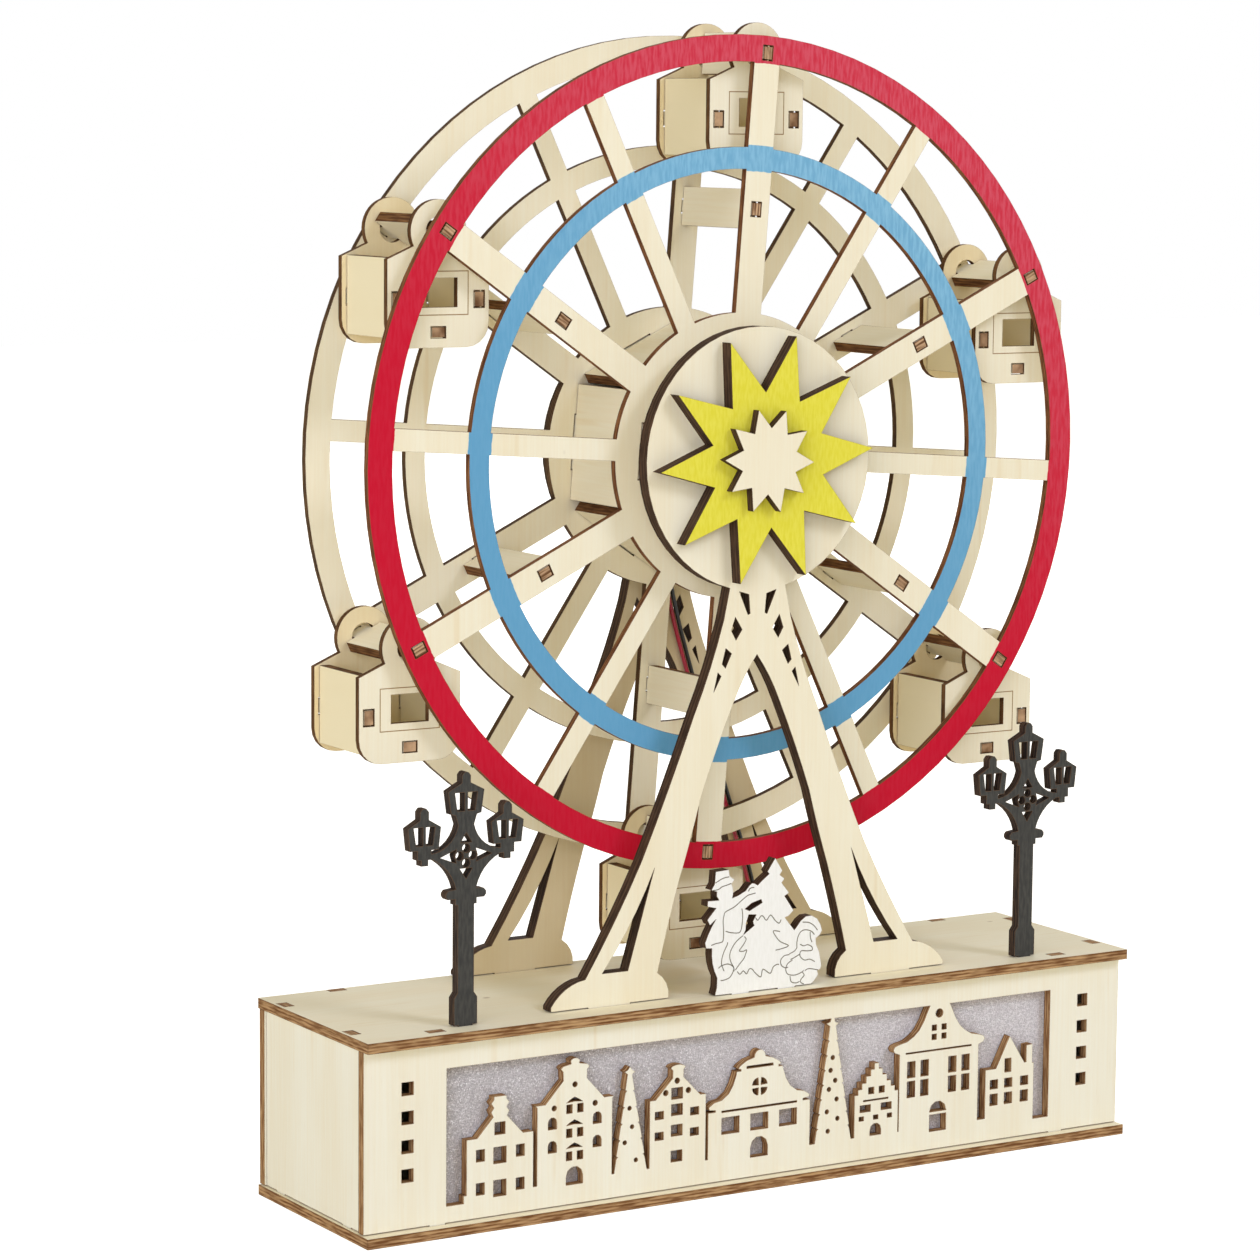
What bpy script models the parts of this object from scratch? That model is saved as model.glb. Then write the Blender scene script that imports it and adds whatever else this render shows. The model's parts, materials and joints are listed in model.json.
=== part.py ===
"""Tabletop ferris wheel in laser-cut plywood on a lit box base, turned by a small motor.

All sizes are in millimetres and become metres when a mesh is made.
X runs along the base, Y from front to back, Z up from the underside of the base.
"""
import math

import bmesh
import bpy
from mathutils import Vector
from mathutils.geometry import delaunay_2d_cdt

MM = 0.001
for old in list(bpy.data.objects):
    bpy.data.objects.remove(old, do_unlink=True)

# Sheet thicknesses and clearances
base_ply = 3.0
rim_ply = 2.2
wheel_ply = 3.0
gondola_ply = 2.0
frame_ply = 4.5
lamp_ply = 3.0
figure_ply = 3.5
seat_gap = 0.3
slot_gap = 0.2
flat_play = 0.3
end_play = 0.45

# Base box
base_length = 263.1
base_depth = 67.6
base_height = 58.0
half_length = base_length / 2
back_edge = base_depth / 2
front_edge = -base_depth / 2
plate_top = base_height
plate_under = base_height - base_ply
panel_low = base_ply + seat_gap
panel_high = plate_under - seat_gap
front_inset = 3.5
end_inset = 1.15
tab_length = 5.0
front_tab_x = half_length - 23.75
back_tab_x = half_length - 24.55
window_half = half_length - 26.55
window_low = 8.0
window_high = base_height - 10.6

# Wheel
wheel_radius = 121.0
rim_width = 7.7
axle_radius = wheel_radius - 4.9
middle_ring_out = 0.7355 * wheel_radius
middle_ring_in = middle_ring_out - 6.3
hub_radius = 41.5
wide_spoke = 8.7
plain_spoke = 6.2
spoke_pairs = 6
wheel_turn = 25.7
wheel_spacing = 0.5556 * base_depth
cross_plate_radius = middle_ring_in - 11.4
cross_plate_size = 11.4
tenon_radial = 3.6
gondola_drop = 0.267 * wheel_radius
gondola_clearance = 6.7
hub_height = base_height + gondola_clearance + gondola_drop + axle_radius

# Depth positions, all from the back edge of the base
rear_gap = 5.0
front_gap = 7.1
rear_frame_back = back_edge
rear_frame_front = rear_frame_back - frame_ply
rear_wheel_front = rear_frame_front - rear_gap
rear_wheel_back = rear_wheel_front + rim_ply
front_wheel_front = rear_wheel_front - wheel_spacing
front_wheel_back = front_wheel_front + rim_ply
front_frame_back = front_wheel_front - front_gap
front_frame_front = front_frame_back - frame_ply

# Gondolas
gondola_half_width = 0.1327 * wheel_radius
ear_radius = 8.8
ear_hole_radius = 4.0
gondola_front = front_wheel_front + 5.6
gondola_back = rear_wheel_front - 2.8
wall_centre = gondola_half_width - 3.1
floor_low = 2.8 - gondola_drop
floor_high = floor_low + wheel_ply

# Drum round the hub
drum_centre = 31.5
drum_half_width = 17.0
drum_tenon_half = 8.0

# Drive
shaft_radius = 2.5
running_gap = 0.1
motor_radius = 19.0
motor_length = 24.0
motor_back = rear_frame_front - seat_gap
motor_front = motor_back - motor_length


def colour(name, rgb, roughness=0.6):
    """One plain surface."""
    surface = bpy.data.materials.new(name)
    surface.use_nodes = True
    shader = surface.node_tree.nodes["Principled BSDF"]
    shader.inputs["Base Color"].default_value = (*rgb, 1.0)
    shader.inputs["Roughness"].default_value = roughness
    return surface


ply = colour("birch_ply", (0.80, 0.68, 0.47))
yellow = colour("yellow_paint", (0.75, 0.70, 0.05))
white = colour("white_paint", (0.85, 0.85, 0.83))
grey = colour("grey_paint", (0.05, 0.05, 0.055))
cloth = colour("window_cloth", (0.48, 0.45, 0.50))
metal = colour("steel", (0.55, 0.55, 0.56), 0.35)
black = colour("black_plastic", (0.02, 0.02, 0.02), 0.45)
green = colour("circuit_board", (0.03, 0.18, 0.07), 0.5)
red_cover = colour("red_insulation", (0.65, 0.02, 0.03), 0.4)
black_cover = colour("black_insulation", (0.015, 0.015, 0.015), 0.4)


# Outlines in two dimensions

def rect(low_u, low_v, high_u, high_v):
    """A rectangle."""
    return [(low_u, low_v), (high_u, low_v), (high_u, high_v), (low_u, high_v)]


def on_circle(centre, radius, angle):
    """The point of a circle at an angle in degrees."""
    turn = math.radians(angle)
    return (centre[0] + radius * math.cos(turn), centre[1] + radius * math.sin(turn))


def arc(centre, radius, start, end, steps):
    """Points on an arc, both ends included, angles in degrees."""
    return [on_circle(centre, radius, start + (end - start) * step / steps) for step in range(steps + 1)]


def circle(centre, radius, steps):
    """A full circle without a doubled point."""
    return arc(centre, radius, 0, 360, steps)[:-1]


def bow(start, end, rise, steps=5):
    """Points between two ends on an arc that bulges to the left of the way by rise."""
    du, dv = end[0] - start[0], end[1] - start[1]
    length = math.hypot(du, dv)
    radius = (length * length / 4 + rise * rise) / (2 * abs(rise))
    side = 1 if rise > 0 else -1
    middle = ((start[0] + end[0]) / 2, (start[1] + end[1]) / 2)
    normal = (-dv / length * side, du / length * side)
    centre = (middle[0] + normal[0] * (abs(rise) - radius), middle[1] + normal[1] * (abs(rise) - radius))
    first = math.degrees(math.atan2(start[1] - centre[1], start[0] - centre[0]))
    last = math.degrees(math.atan2(end[1] - centre[1], end[0] - centre[0]))
    sweep = (last - first + 180) % 360 - 180
    return arc(centre, radius, first, first + sweep, steps)[1:-1]


def arched(low_u, low_v, high_u, high_v, steps=5):
    """A door or window with a round head."""
    radius = (high_u - low_u) / 2
    middle = (low_u + high_u) / 2
    head = arc((middle, high_v - radius), radius, 0, 180, steps)
    return [(low_u, low_v), (high_u, low_v)] + head


def mirrored(half):
    """A closed outline from its right half, listed from the bottom to the top."""
    left = [(-u, v) for u, v in reversed(half) if abs(u) > 1e-6]
    return half + left


def star(points, outer, inner, turn):
    """A star outline with one tip at the turn angle."""
    outline = []
    for step in range(points):
        tip = turn + 360 * step / points
        outline += [on_circle((0, 0), outer, tip), on_circle((0, 0), inner, tip + 180 / points)]
    return outline


def moved(outline, du, dv):
    """An outline shifted."""
    return [(u + du, v + dv) for u, v in outline]


def inside(loops, point):
    """Even-odd test of a point against all loops."""
    odd = False
    for loop in loops:
        for (u1, v1), (u2, v2) in zip(loop, loop[1:] + loop[:1]):
            if (v1 > point[1]) != (v2 > point[1]):
                if point[0] < (u2 - u1) * (point[1] - v1) / (v2 - v1) + u1:
                    odd = not odd
    return odd


def fill(loops):
    """Triangles between the loops, as indices into their joined points."""
    points, edges = [], []
    for loop in loops:
        first = len(points)
        points += [Vector(point) for point in loop]
        count = len(loop)
        edges += [(first + step, first + (step + 1) % count) for step in range(count)]
    result = delaunay_2d_cdt(points, edges, [], 0, 1e-6)
    if len(result[0]) != len(points):
        raise ValueError("an outline crosses or touches itself")
    source = [origins[0] for origins in result[3]]
    triangles = []
    for face in result[2]:
        middle = sum((result[0][corner] for corner in face), Vector((0, 0))) / len(face)
        if inside(loops, middle):
            triangles.append([source[corner] for corner in face])
    return triangles


# Solids

def finish(name, build, surface, pivot=(0, 0, 0)):
    """Turn a bmesh in millimetres into one object whose origin is the pivot."""
    bmesh.ops.recalc_face_normals(build, faces=build.faces)
    centre = Vector(pivot)
    for corner in build.verts:
        corner.co = (corner.co - centre) * MM
    mesh = bpy.data.meshes.new(name)
    build.to_mesh(mesh)
    build.free()
    mesh.materials.append(surface)
    thing = bpy.data.objects.new(name, mesh)
    thing.location = centre * MM
    bpy.context.collection.objects.link(thing)
    return thing


def solid(name, outline, holes, low, high, place, surface,
          low_steps=(), high_steps=(), pivot=(0, 0, 0)):
    """A sheet piece: an outline with holes, from low to high, with steps on either face.

    A step is a loop and the level that its own face reaches: beyond the sheet it is a
    tenon, inside the sheet it is a pocket. place turns (u, v, level) into a point.
    """
    build = bmesh.new()

    def ring(loop, level):
        return [build.verts.new(place(u, v, level)) for u, v in loop]

    def walls(near, far):
        count = len(near)
        for step in range(count):
            after = (step + 1) % count
            build.faces.new((near[step], near[after], far[after], far[step]))

    edges_low = [ring(loop, low) for loop in [outline] + list(holes)]
    edges_high = [ring(loop, high) for loop in [outline] + list(holes)]
    for near, far in zip(edges_low, edges_high):
        walls(near, far)
    for level, rings, steps in ((low, edges_low, low_steps), (high, edges_high, high_steps)):
        loops = [outline] + list(holes) + [loop for loop, reach in steps]
        step_rings = [ring(loop, level) for loop, reach in steps]
        corners = [corner for loop in rings + step_rings for corner in loop]
        for triangle in fill(loops):
            build.faces.new([corners[index] for index in triangle])
        for near, (loop, reach) in zip(step_rings, steps):
            far = ring(loop, reach)
            walls(near, far)
            for triangle in fill([loop]):
                build.faces.new([far[index] for index in triangle])
    return finish(name, build, surface, pivot)


def upright(u, v, level):
    """Front view: u along X, v up, level from front to back."""
    return (u, level, v)


def flat(u, v, level):
    """Plan view: u along X, v to the back, level up."""
    return (u, v, level)


def side_on(u, v, level):
    """Side view: u to the back, v up, level along X."""
    return (level, u, v)


def radial(angle):
    """A sheet standing on a wheel radius: u outwards, v to the back, level round the wheel."""
    out = Vector((math.cos(math.radians(angle)), 0, math.sin(math.radians(angle))))
    round_way = Vector((-out.z, 0, out.x))

    def place(u, v, level):
        point = out * u + round_way * level
        return (point.x, v, point.z + hub_height)
    return place


def tangent(angle):
    """A sheet across a wheel radius: u round the wheel, v to the back, level outwards."""
    out = Vector((math.cos(math.radians(angle)), 0, math.sin(math.radians(angle))))
    round_way = Vector((-out.z, 0, out.x))

    def place(u, v, level):
        point = out * level + round_way * u
        return (point.x, v, point.z + hub_height)
    return place


def turned(name, profile, surface, steps=40, pivot=(0, 0, 0)):
    """A round piece about the wheel axis from (y, radius) points; radius 0 is a point."""
    build = bmesh.new()
    rings = []
    for y, radius in profile:
        if radius == 0:
            rings.append([build.verts.new((0, y, hub_height))])
        else:
            edge = circle((0, hub_height), radius, steps)
            rings.append([build.verts.new((u, y, v)) for u, v in edge])
    for near, far in zip(rings, rings[1:]):
        for step in range(steps):
            after = (step + 1) % steps
            face = [near[step % len(near)], near[after % len(near)]]
            face += [far[after % len(far)], far[step % len(far)]]
            build.faces.new(list(dict.fromkeys(face)))
    return finish(name, build, surface, pivot)


def cable(name, path, radius, surface, steps=10):
    """A round wire along a path, with flat ends."""
    build = bmesh.new()
    points = [Vector(point) for point in path]
    side = Vector((1, 0, 0))
    rings = []
    for index, point in enumerate(points):
        before = points[max(index - 1, 0)]
        after = points[min(index + 1, len(points) - 1)]
        way = (after - before).normalized()
        side = (side - way * side.dot(way)).normalized()
        across = way.cross(side)
        ring = []
        for u, v in circle((0, 0), radius, steps):
            ring.append(build.verts.new(point + side * u + across * v))
        rings.append(ring)
    for near, far in zip(rings, rings[1:]):
        for step in range(steps):
            after = (step + 1) % steps
            build.faces.new((near[step], near[after], far[after], far[step]))
    build.faces.new(rings[0])
    build.faces.new(rings[-1])
    return finish(name, build, surface)


def copied(source, name, pivot):
    """The same piece again at another place, sharing its mesh."""
    thing = bpy.data.objects.new(name, source.data)
    thing.location = Vector(pivot) * MM
    bpy.context.collection.objects.link(thing)
    return thing


# Base plates

front_panel_front = front_edge + front_inset
front_panel_back = front_panel_front + base_ply
back_panel_front = back_edge - base_ply
side_front = front_panel_back + seat_gap
side_back = back_panel_front - seat_gap
side_out = half_length - end_inset
side_in = side_out - base_ply
side_tabs = (back_edge - 12.1, front_edge + 14.7)
lamp_x = half_length - 34.35
lamp_front = front_edge + 6.8
foot_tenon = (42.0, 56.0)
figure_front = front_frame_front - figure_ply - 0.6
figure_tenons = ((-10.0, -4.0), (6.0, 12.0))
figure_tenon_depth = base_ply - 0.2
wire_x = 36.5
wire_y = rear_frame_front - 1.0
hatch_x = (-12.0, 52.0)
hatch_y = (front_edge + 14.8, back_edge - 9.8)


def slot(low_u, low_v, high_u, high_v, gap_u=slot_gap, gap_v=slot_gap):
    """A through slot with clearance all round."""
    return rect(low_u - gap_u, low_v - gap_v, high_u + gap_u, high_v + gap_v)


def plate_outline(notches):
    """The plate with open notches in its back edge."""
    outline = [(-half_length, front_edge), (half_length, front_edge), (half_length, back_edge)]
    for low_u, high_u, depth in sorted(notches, reverse=True):
        outline += [(high_u, back_edge), (high_u, back_edge - depth)]
        outline += [(low_u, back_edge - depth), (low_u, back_edge)]
    return outline + [(-half_length, back_edge)]


def panel_slots():
    """Slots that the tabs of the front and side panels fill."""
    slots = []
    for side in (-1, 1):
        centre = side * front_tab_x
        first, last = centre - tab_length / 2, centre + tab_length / 2
        slots.append(slot(first, front_panel_front, last, front_panel_back))
        low_u, high_u = sorted((side * side_in, side * side_out))
        for centre in side_tabs:
            slots.append(slot(low_u, centre - tab_length / 2, high_u, centre + tab_length / 2))
    return slots


def back_notches(width_half, centres, depth):
    """Notches in the back edge, with clearance."""
    return [(c - width_half - slot_gap, c + width_half + slot_gap, depth + slot_gap) for c in centres]


foot_centre = (foot_tenon[0] + foot_tenon[1]) / 2
foot_half = (foot_tenon[1] - foot_tenon[0]) / 2
tab_notches = back_notches(tab_length / 2, (-back_tab_x, back_tab_x), base_ply)
foot_notches = back_notches(foot_half, (-foot_centre, foot_centre), frame_ply)

top_slots = panel_slots()
for side in (-1, 1):
    low_u, high_u = sorted((side * foot_tenon[0], side * foot_tenon[1]))
    top_slots.append(slot(low_u, front_frame_front, high_u, front_frame_back))
    top_slots.append(slot(side * lamp_x - 2.2, lamp_front, side * lamp_x + 2.2, lamp_front + lamp_ply))
for low_u, high_u in figure_tenons:
    top_slots.append(slot(low_u, figure_front, high_u, figure_front + figure_ply))
wire_hole = arc((wire_x - 0.8, wire_y), 1.3, 90, 270, 8) + arc((wire_x + 0.8, wire_y), 1.3, -90, 90, 8)
top_slots.append(wire_hole)
solid("base_top_plate", plate_outline(tab_notches + foot_notches), top_slots,
      plate_under, plate_top, flat, ply)

hatch_opening = slot(hatch_x[0], hatch_y[0], hatch_x[1], hatch_y[1], seat_gap)
solid("base_bottom_plate", plate_outline(tab_notches), panel_slots() + [hatch_opening],
      0, base_ply, flat, ply)
hatch_low = 0.2
finger_hole = arched(hatch_x[0] + 3, -5, hatch_x[0] + 12, 5)
solid("battery_hatch", rect(hatch_x[0], hatch_y[0], hatch_x[1], hatch_y[1]), [finger_hole],
      hatch_low, base_ply, flat, ply, pivot=(hatch_x[0] - seat_gap / 2, 0, 0))


def panel_outline(low_u, high_u, tab_centres):
    """A base panel with tabs that go through both plates."""
    bottom = [(low_u, panel_low)]
    top = [(high_u, panel_high)]
    for centre in sorted(tab_centres):
        first, last = centre - tab_length / 2, centre + tab_length / 2
        bottom += [(first, panel_low), (first, 0), (last, 0), (last, panel_low)]
    for centre in sorted(tab_centres, reverse=True):
        first, last = centre + tab_length / 2, centre - tab_length / 2
        top += [(first, panel_high), (first, plate_top), (last, plate_top), (last, panel_high)]
    return bottom + [(high_u, panel_low)] + top + [(low_u, panel_high)]


# Skyline cut out of the front panel, drawn for a window 210 wide whose frame ends at 8 and 47.4

design_half = 105.0
design_low = 8.0
design_high = 47.4
street = design_low + 2.2


def to_window(loop):
    """A loop of the drawn skyline fitted to the window."""
    wide = window_half / design_half
    high = (window_high - window_low) / (design_high - design_low)
    return [(u * wide, window_low + (v - design_low) * high) for u, v in loop]



def gable(middle, side):
    """A house front from street to street, from the outline of one side as distances from its middle."""
    left = [(middle - reach, level) for reach, level in side]
    return left + [(middle + reach, level) for reach, level in reversed(side)]


def grid(lefts, tops, width, height):
    """Equal rectangular windows."""
    return [rect(u, v - height, u + width, v) for u in lefts for v in tops]


def tree_side(foot, crown, inward, notches):
    """A straight side of a conifer from its foot up, with small notches."""
    points = [foot]
    for number in range(1, notches + 1):
        part = number / (notches + 1)
        u = foot[0] + (crown[0] - foot[0]) * part
        v = foot[1] + (crown[1] - foot[1]) * part
        points += [(u, v - 0.6), (u + inward * 0.5, v), (u, v + 0.2)]
    return points + [crown]


h1_side = [(10.75, street), (10.75, 26.1), (7.4, 26.1), (2.2, 31.7), (2.9, 33.1), (2.0, 34.3), (2.9, 35.6),
           (2.0, 36.6), (2.0, 37.5)]
h2_side = [(12.35, street), (12.35, 32.5), (12.95, 33.1), (9.7, 33.1), (3.85, 39.4), (3.95, 42.0),
           (4.7, 42.8), (4.0, 43.5), (1.3, 44.0), (1.5, 45.0), (0.5, 45.6)]
h3_side = [(9.5, street), (9.5, 30.0), (7.6, 30.0), (1.8, 35.9), (1.8, 38.1), (2.5, 38.9), (1.9, 39.4),
           (0.6, 39.7)]
h4_side = [(17.75, street), (17.75, 24.0), (15.2, 24.0), (15.2, 24.6), (17.3, 24.8), (17.6, 25.6),
           (15.7, 26.8), (13.1, 27.3), (10.7, 29.0), (9.2, 31.4), (8.2, 34.2), (8.0, 35.2), (6.5, 35.2),
           (6.5, 35.8), (7.5, 36.0), (6.8, 36.8), (4.6, 38.1), (1.9, 38.8), (1.8, 39.7), (1.2, 40.5),
           (0.4, 40.9)]
h5_steps = [(7.85, 23.0), (6.6, 24.6), (5.2, 26.4), (3.7, 28.4), (2.1, 30.3), (0.8, 32.1)]
h6_side = [(14.5, street), (14.5, 33.6), (16.3, 34.3), (16.8, 35.2), (16.3, 36.1), (14.9, 36.6),
           (11.9, 37.2), (9.4, 38.6), (7.5, 40.3), (5.7, 43.0), (4.8, 45.0), (3.6, design_high)]
h4_middle = -0.65
h5_middle = 40.95
h6_middle = 63.7
tip_middle = 24.9
tip_half = 0.6

left_side = [(-design_half, design_high), (-design_half, design_low), (-99.4, design_low), (-99.4, street)]
left_side += gable(-87.75, h1_side) + [(-77.0, 9.9), (-75.7, 9.9)]
left_side += gable(-63.35, h2_side)
left_side += tree_side((-50.2, street), (-45.9, 38.8), 1, 5)
left_side += [(-46.9, 39.6), (-45.9, 40.0), (-45.1, 41.0), (-44.4, 40.0), (-43.4, 39.4)]
left_side += reversed(tree_side((-39.2, street), (-44.4, 38.6), -1, 5))
left_side += gable(-28.8, h3_side) + gable(h4_middle, h4_side)
left_side += tree_side((19.0, street), (23.9, 45.1), 1, 7)
left_side += [(22.6, 46.0), (24.0, 46.4), (tip_middle - tip_half, design_high)]

middle_side = [(tip_middle + tip_half, design_high), (25.7, 46.3), (27.0, 45.8)]
middle_side += reversed(tree_side((31.9, street), (26.0, 45.0), -1, 7))
h5_side = [(h5_steps[0][0], street)]
for (reach, level), following in zip(h5_steps, h5_steps[1:]):
    h5_side += [(reach, level), (following[0], level)]
h5_side.append(h5_steps[-1])
middle_side += gable(h5_middle, h5_side)
middle_side += [(h6_middle - reach, level) for reach, level in h6_side]

right_side = [(h6_middle + reach, level) for reach, level in reversed(h6_side)]
right_side += [(81.1, street), (81.1, 25.2), (85.0, 25.2), (90.0, 34.8), (95.6, 26.0), (96.4, 26.0)]
right_side += [(96.4, 31.2)]
right_side += [(98.6, 31.4), (98.6, 25.6), (99.2, 25.6), (99.2, design_low)]
right_side += [(design_half, design_low), (design_half, design_high)]


def tidy_loop(points):
    """Leave out points that repeat the one before."""
    kept = []
    for point in points:
        if not kept or math.hypot(point[0] - kept[-1][0], point[1] - kept[-1][1]) > 0.05:
            kept.append(point)
    return kept


sky_holes = [tidy_loop(left_side), tidy_loop(middle_side), tidy_loop(right_side)]
house_windows = grid((-89.6,), (30.1,), 3.5, 3.6)
house_windows += grid((-95.5, -82.6), (22.9, 13.3), 2.8, 3.5) + grid((-89.9,), (23.0, 13.5), 4.2, 4.8)
house_windows += [circle(centre, 0.85, 10) for centre in ((-63.4, 38.0), (-70.2, 31.8), (-56.7, 31.8))]
house_windows += grid((-66.2, -62.6), (32.3, 25.3, 18.6), 2.0, 2.6)
for level in (32.8, 26.2, 19.5):
    house_windows.append([(-60.7, level), (-62.1, level + 0.9), (-63.5, level + 1.6), (-64.9, level + 0.9),
                          (-66.3, level), (-63.5, level + 0.25)])
for left in (-72.2, -57.4):
    house_windows += [arched(left, level - 3.5, left + 2.9, level) for level in (29.2, 22.4)]
house_windows.append(arched(-66.2, 8.9, -60.6, 14.2))
small_dots = ((-45.2, 28.8), (-44.3, 23.3), (-46.7, 18.9), (-42.9, 13.4))
house_windows += [circle(centre, 0.7, 10) for centre in small_dots]
house_windows += [circle(centre, 0.9, 10) for centre in ((-29.15, 35.0), (-33.0, 31.8), (-25.3, 31.8))]
house_windows += grid((-31.1,), (33.0, 28.2, 22.1, 14.5), 3.9, 3.4)
house_windows += grid((-36.6, -24.6), (26.6, 20.5), 3.0, 2.4)
for start in (0, 90, 180, 270):
    corner = on_circle((h4_middle, 30.0), 0.5, start + 45)
    house_windows.append([corner] + arc(corner, 2.3, start + 4, start + 86, 5))
house_windows.append(rect(-5.3, 35.7, 4.0, 36.5))
house_windows.append(rect(-13.8, 23.6, 12.5, 24.2))
house_windows += grid((-13.8, -3.75, 6.3), (22.1,), 6.2, 5.0)
house_windows.append(arched(-3.7, 9.0, 2.4, 15.1))
dots = ((25.0, 35.6), (24.3, 31.8), (26.0, 28.6), (23.8, 26.1), (26.6, 22.9), (23.2, 19.4), (27.0, 17.0))
house_windows += [circle(centre, 0.75, 10) for centre in dots + ((23.6, 13.5),)]
house_windows += grid((38.0, 41.8), (25.0,), 2.1, 2.1) + [rect(36.2, 20.8, 45.3, 21.3)]
house_windows += grid((35.0, 42.6), (19.8,), 3.9, 2.2)
house_windows += grid((34.7, 39.9, 44.9), (16.4,), 1.8, 1.4)
house_windows.append(arched(38.7, 10.2, 42.8, 13.9))
house_windows += [circle((63.5, 44.8), 1.4, 12)] + grid((60.8, 64.4), (41.4, 38.6), 1.8, 1.8)
house_windows += grid((52.0, 56.9, 67.1, 72.0), (31.1, 25.1), 3.0, 5.0) + [rect(51.4, 33.4, 75.6, 33.9)]
house_windows += [rect(60.4, 8.7, 66.6, 13.9), arched(60.4, 14.7, 66.6, 17.9)]
house_windows += [rect(88.2, 23.7, 90.7, 28.0)] + grid((82.8, 88.2, 94.2), (21.9,), 3.0, 2.9)
house_windows += grid((82.8, 88.2, 94.2), (17.5,), 3.0, 3.6)

end_holes = []
end_hole_x = half_length - 14.25
end_hole_pitch = 8.23
end_hole_half = 1.9
for side in (-1, 1):
    for row in range(4):
        level = window_high - 4.3 - row * end_hole_pitch
        middle = side * end_hole_x
        end_holes.append(rect(middle - end_hole_half, level - end_hole_half, middle + end_hole_half,
                              level + end_hole_half))

panel_half = half_length - 0.5
solid("base_front_panel", panel_outline(-panel_half, panel_half, (-front_tab_x, front_tab_x)),
      [to_window(loop) for loop in sky_holes + house_windows] + end_holes,
      front_panel_front, front_panel_back, upright, ply)

switch_x = 0.0
switch_z = 12.0
switch_travel = 4.0
slider_half = 4.0
knob_half = 1.75
slider_thick = 1.5
switch_slot = slot(switch_x - knob_half, switch_z - slider_thick, switch_x + knob_half + switch_travel,
                   switch_z + slider_thick, seat_gap)
solid("base_back_panel", panel_outline(-panel_half, panel_half, (-back_tab_x, back_tab_x)),
      [switch_slot], back_panel_front, back_edge, upright, ply)
for side, name in ((-1, "base_left_panel"), (1, "base_right_panel")):
    low, high = sorted((side * side_in, side * side_out))
    solid(name, panel_outline(side_front, side_back, side_tabs), [], low, high, side_on, ply)

# Cloth behind the window, lights and battery box
cloth_front = front_panel_back + seat_gap
cloth_back = cloth_front + 0.6
cloth_half = window_half + 7.0
cloth_outline = rect(-cloth_half, panel_low + 0.4, cloth_half, panel_high - 0.4)
solid("window_cloth", cloth_outline, [], cloth_front, cloth_back, upright, cloth)
board_front = cloth_back + 1.8
board_back = board_front + 1.2
board_half = 58.0
board_high = 30.0
light_rows = [(x - 2.5, x + 2.5) for x in (-50, -25, 0, 25, 50)]
light_depth = 1.2
lights = [(rect(first, board_high - 10, last, board_high - 5), board_front - light_depth)
          for first, last in light_rows]
board_outline = rect(-board_half, panel_low, board_half, board_high)
solid("light_board", board_outline, [], board_front, board_back, upright, green, low_steps=lights)
box_front = board_back + seat_gap
box_back = back_panel_front - 0.4
box_top = 22.0
bay_rim = 1.5
bay_x = (hatch_x[0] + bay_rim, hatch_x[1] - bay_rim)
bay_y = (hatch_y[0] + bay_rim, hatch_y[1] - bay_rim)
bay_top = box_top - 1.8
battery_bay = rect(bay_x[0], bay_y[0], bay_x[1], bay_y[1])
box = solid("battery_box", rect(hatch_x[0] - 3, box_front, hatch_x[1] + 3, box_back), [],
            panel_low, box_top, flat, black, low_steps=[(battery_bay, bay_top)])
guide_front = box_back - 3.4
guide_hole = slot(switch_x - slider_half, switch_z - slider_thick, switch_x + slider_half + switch_travel,
                  switch_z + slider_thick, seat_gap)
guide = solid("switch_guide_cutter", guide_hole, [], guide_front, box_back + 2, upright, black)
guide.hide_render = True
guide.display_type = "WIRE"
cut = box.modifiers.new("switch_guide", "BOOLEAN")
cut.operation = "DIFFERENCE"
cut.solver = "EXACT"
cut.object = guide
shoulder_back = box_back - 0.4
knob_back = back_edge - seat_gap
slider_front = guide_front + seat_gap
slider_plan = [(switch_x - slider_half, slider_front), (switch_x + slider_half, slider_front),
               (switch_x + slider_half, shoulder_back), (switch_x + knob_half, shoulder_back),
               (switch_x + knob_half, knob_back), (switch_x - knob_half, knob_back),
               (switch_x - knob_half, shoulder_back), (switch_x - slider_half, shoulder_back)]
solid("switch_slider", slider_plan, [], switch_z - slider_thick, switch_z + slider_thick, flat, black,
      pivot=(switch_x, box_back, switch_z))


# Frames that carry the wheel

rise = (hub_height - base_height) / 155.1
foot_level = base_height + seat_gap


def at(half_width, above_base):
    """A frame point: its height follows the hub's height over the base."""
    return (half_width, base_height + above_base * rise)


def frame_outline():
    """Disc on two splayed legs with curved feet, tenons under the feet."""
    disc = 38.1
    neck = at(9.5, 118.4)
    drop = hub_height - neck[1]
    start = math.degrees(math.atan2(-drop, neck[0]))
    head = arc((0, hub_height), math.hypot(neck[0], drop), start, 90, 24)
    disc_scale = disc / math.hypot(neck[0], drop)
    head = [(u * disc_scale, hub_height + (v - hub_height) * disc_scale) for u, v in head]
    inner = [(0, at(0, 98.5)[1])]
    arch = ((at(7.9, 84.8), 0.5), (at(18.9, 57.4), 0.3), (at(25.7, 34.8), -0.2), (at(32.9, 8.0), 0.2))
    for end, bulge in arch:
        inner += bow(inner[-1], end, bulge, 4) + [end]
    toe_inner = (29.0, foot_level)
    inner += bow(inner[-1], toe_inner, -1.3, 4) + [toe_inner]
    foot = [(foot_tenon[0], foot_level), (foot_tenon[0], plate_under + 0.2),
            (foot_tenon[1], plate_under + 0.2), (foot_tenon[1], foot_level)]
    toe_outer = (68.3, foot_level)
    outer = [toe_outer, (68.3, foot_level + 1.2)]
    outer += bow(outer[-1], at(57.0, 8.5), -1.5, 6) + [at(57.0, 8.5)]
    for end, bulge in ((at(38.5, 41.0), 0.5), (at(21.3, 82.0), 0.3), (at(11.5, 109.0), 0.5)):
        outer += bow(outer[-1], end, bulge, 4) + [end]
    return mirrored(inner + foot + outer + head)


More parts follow.
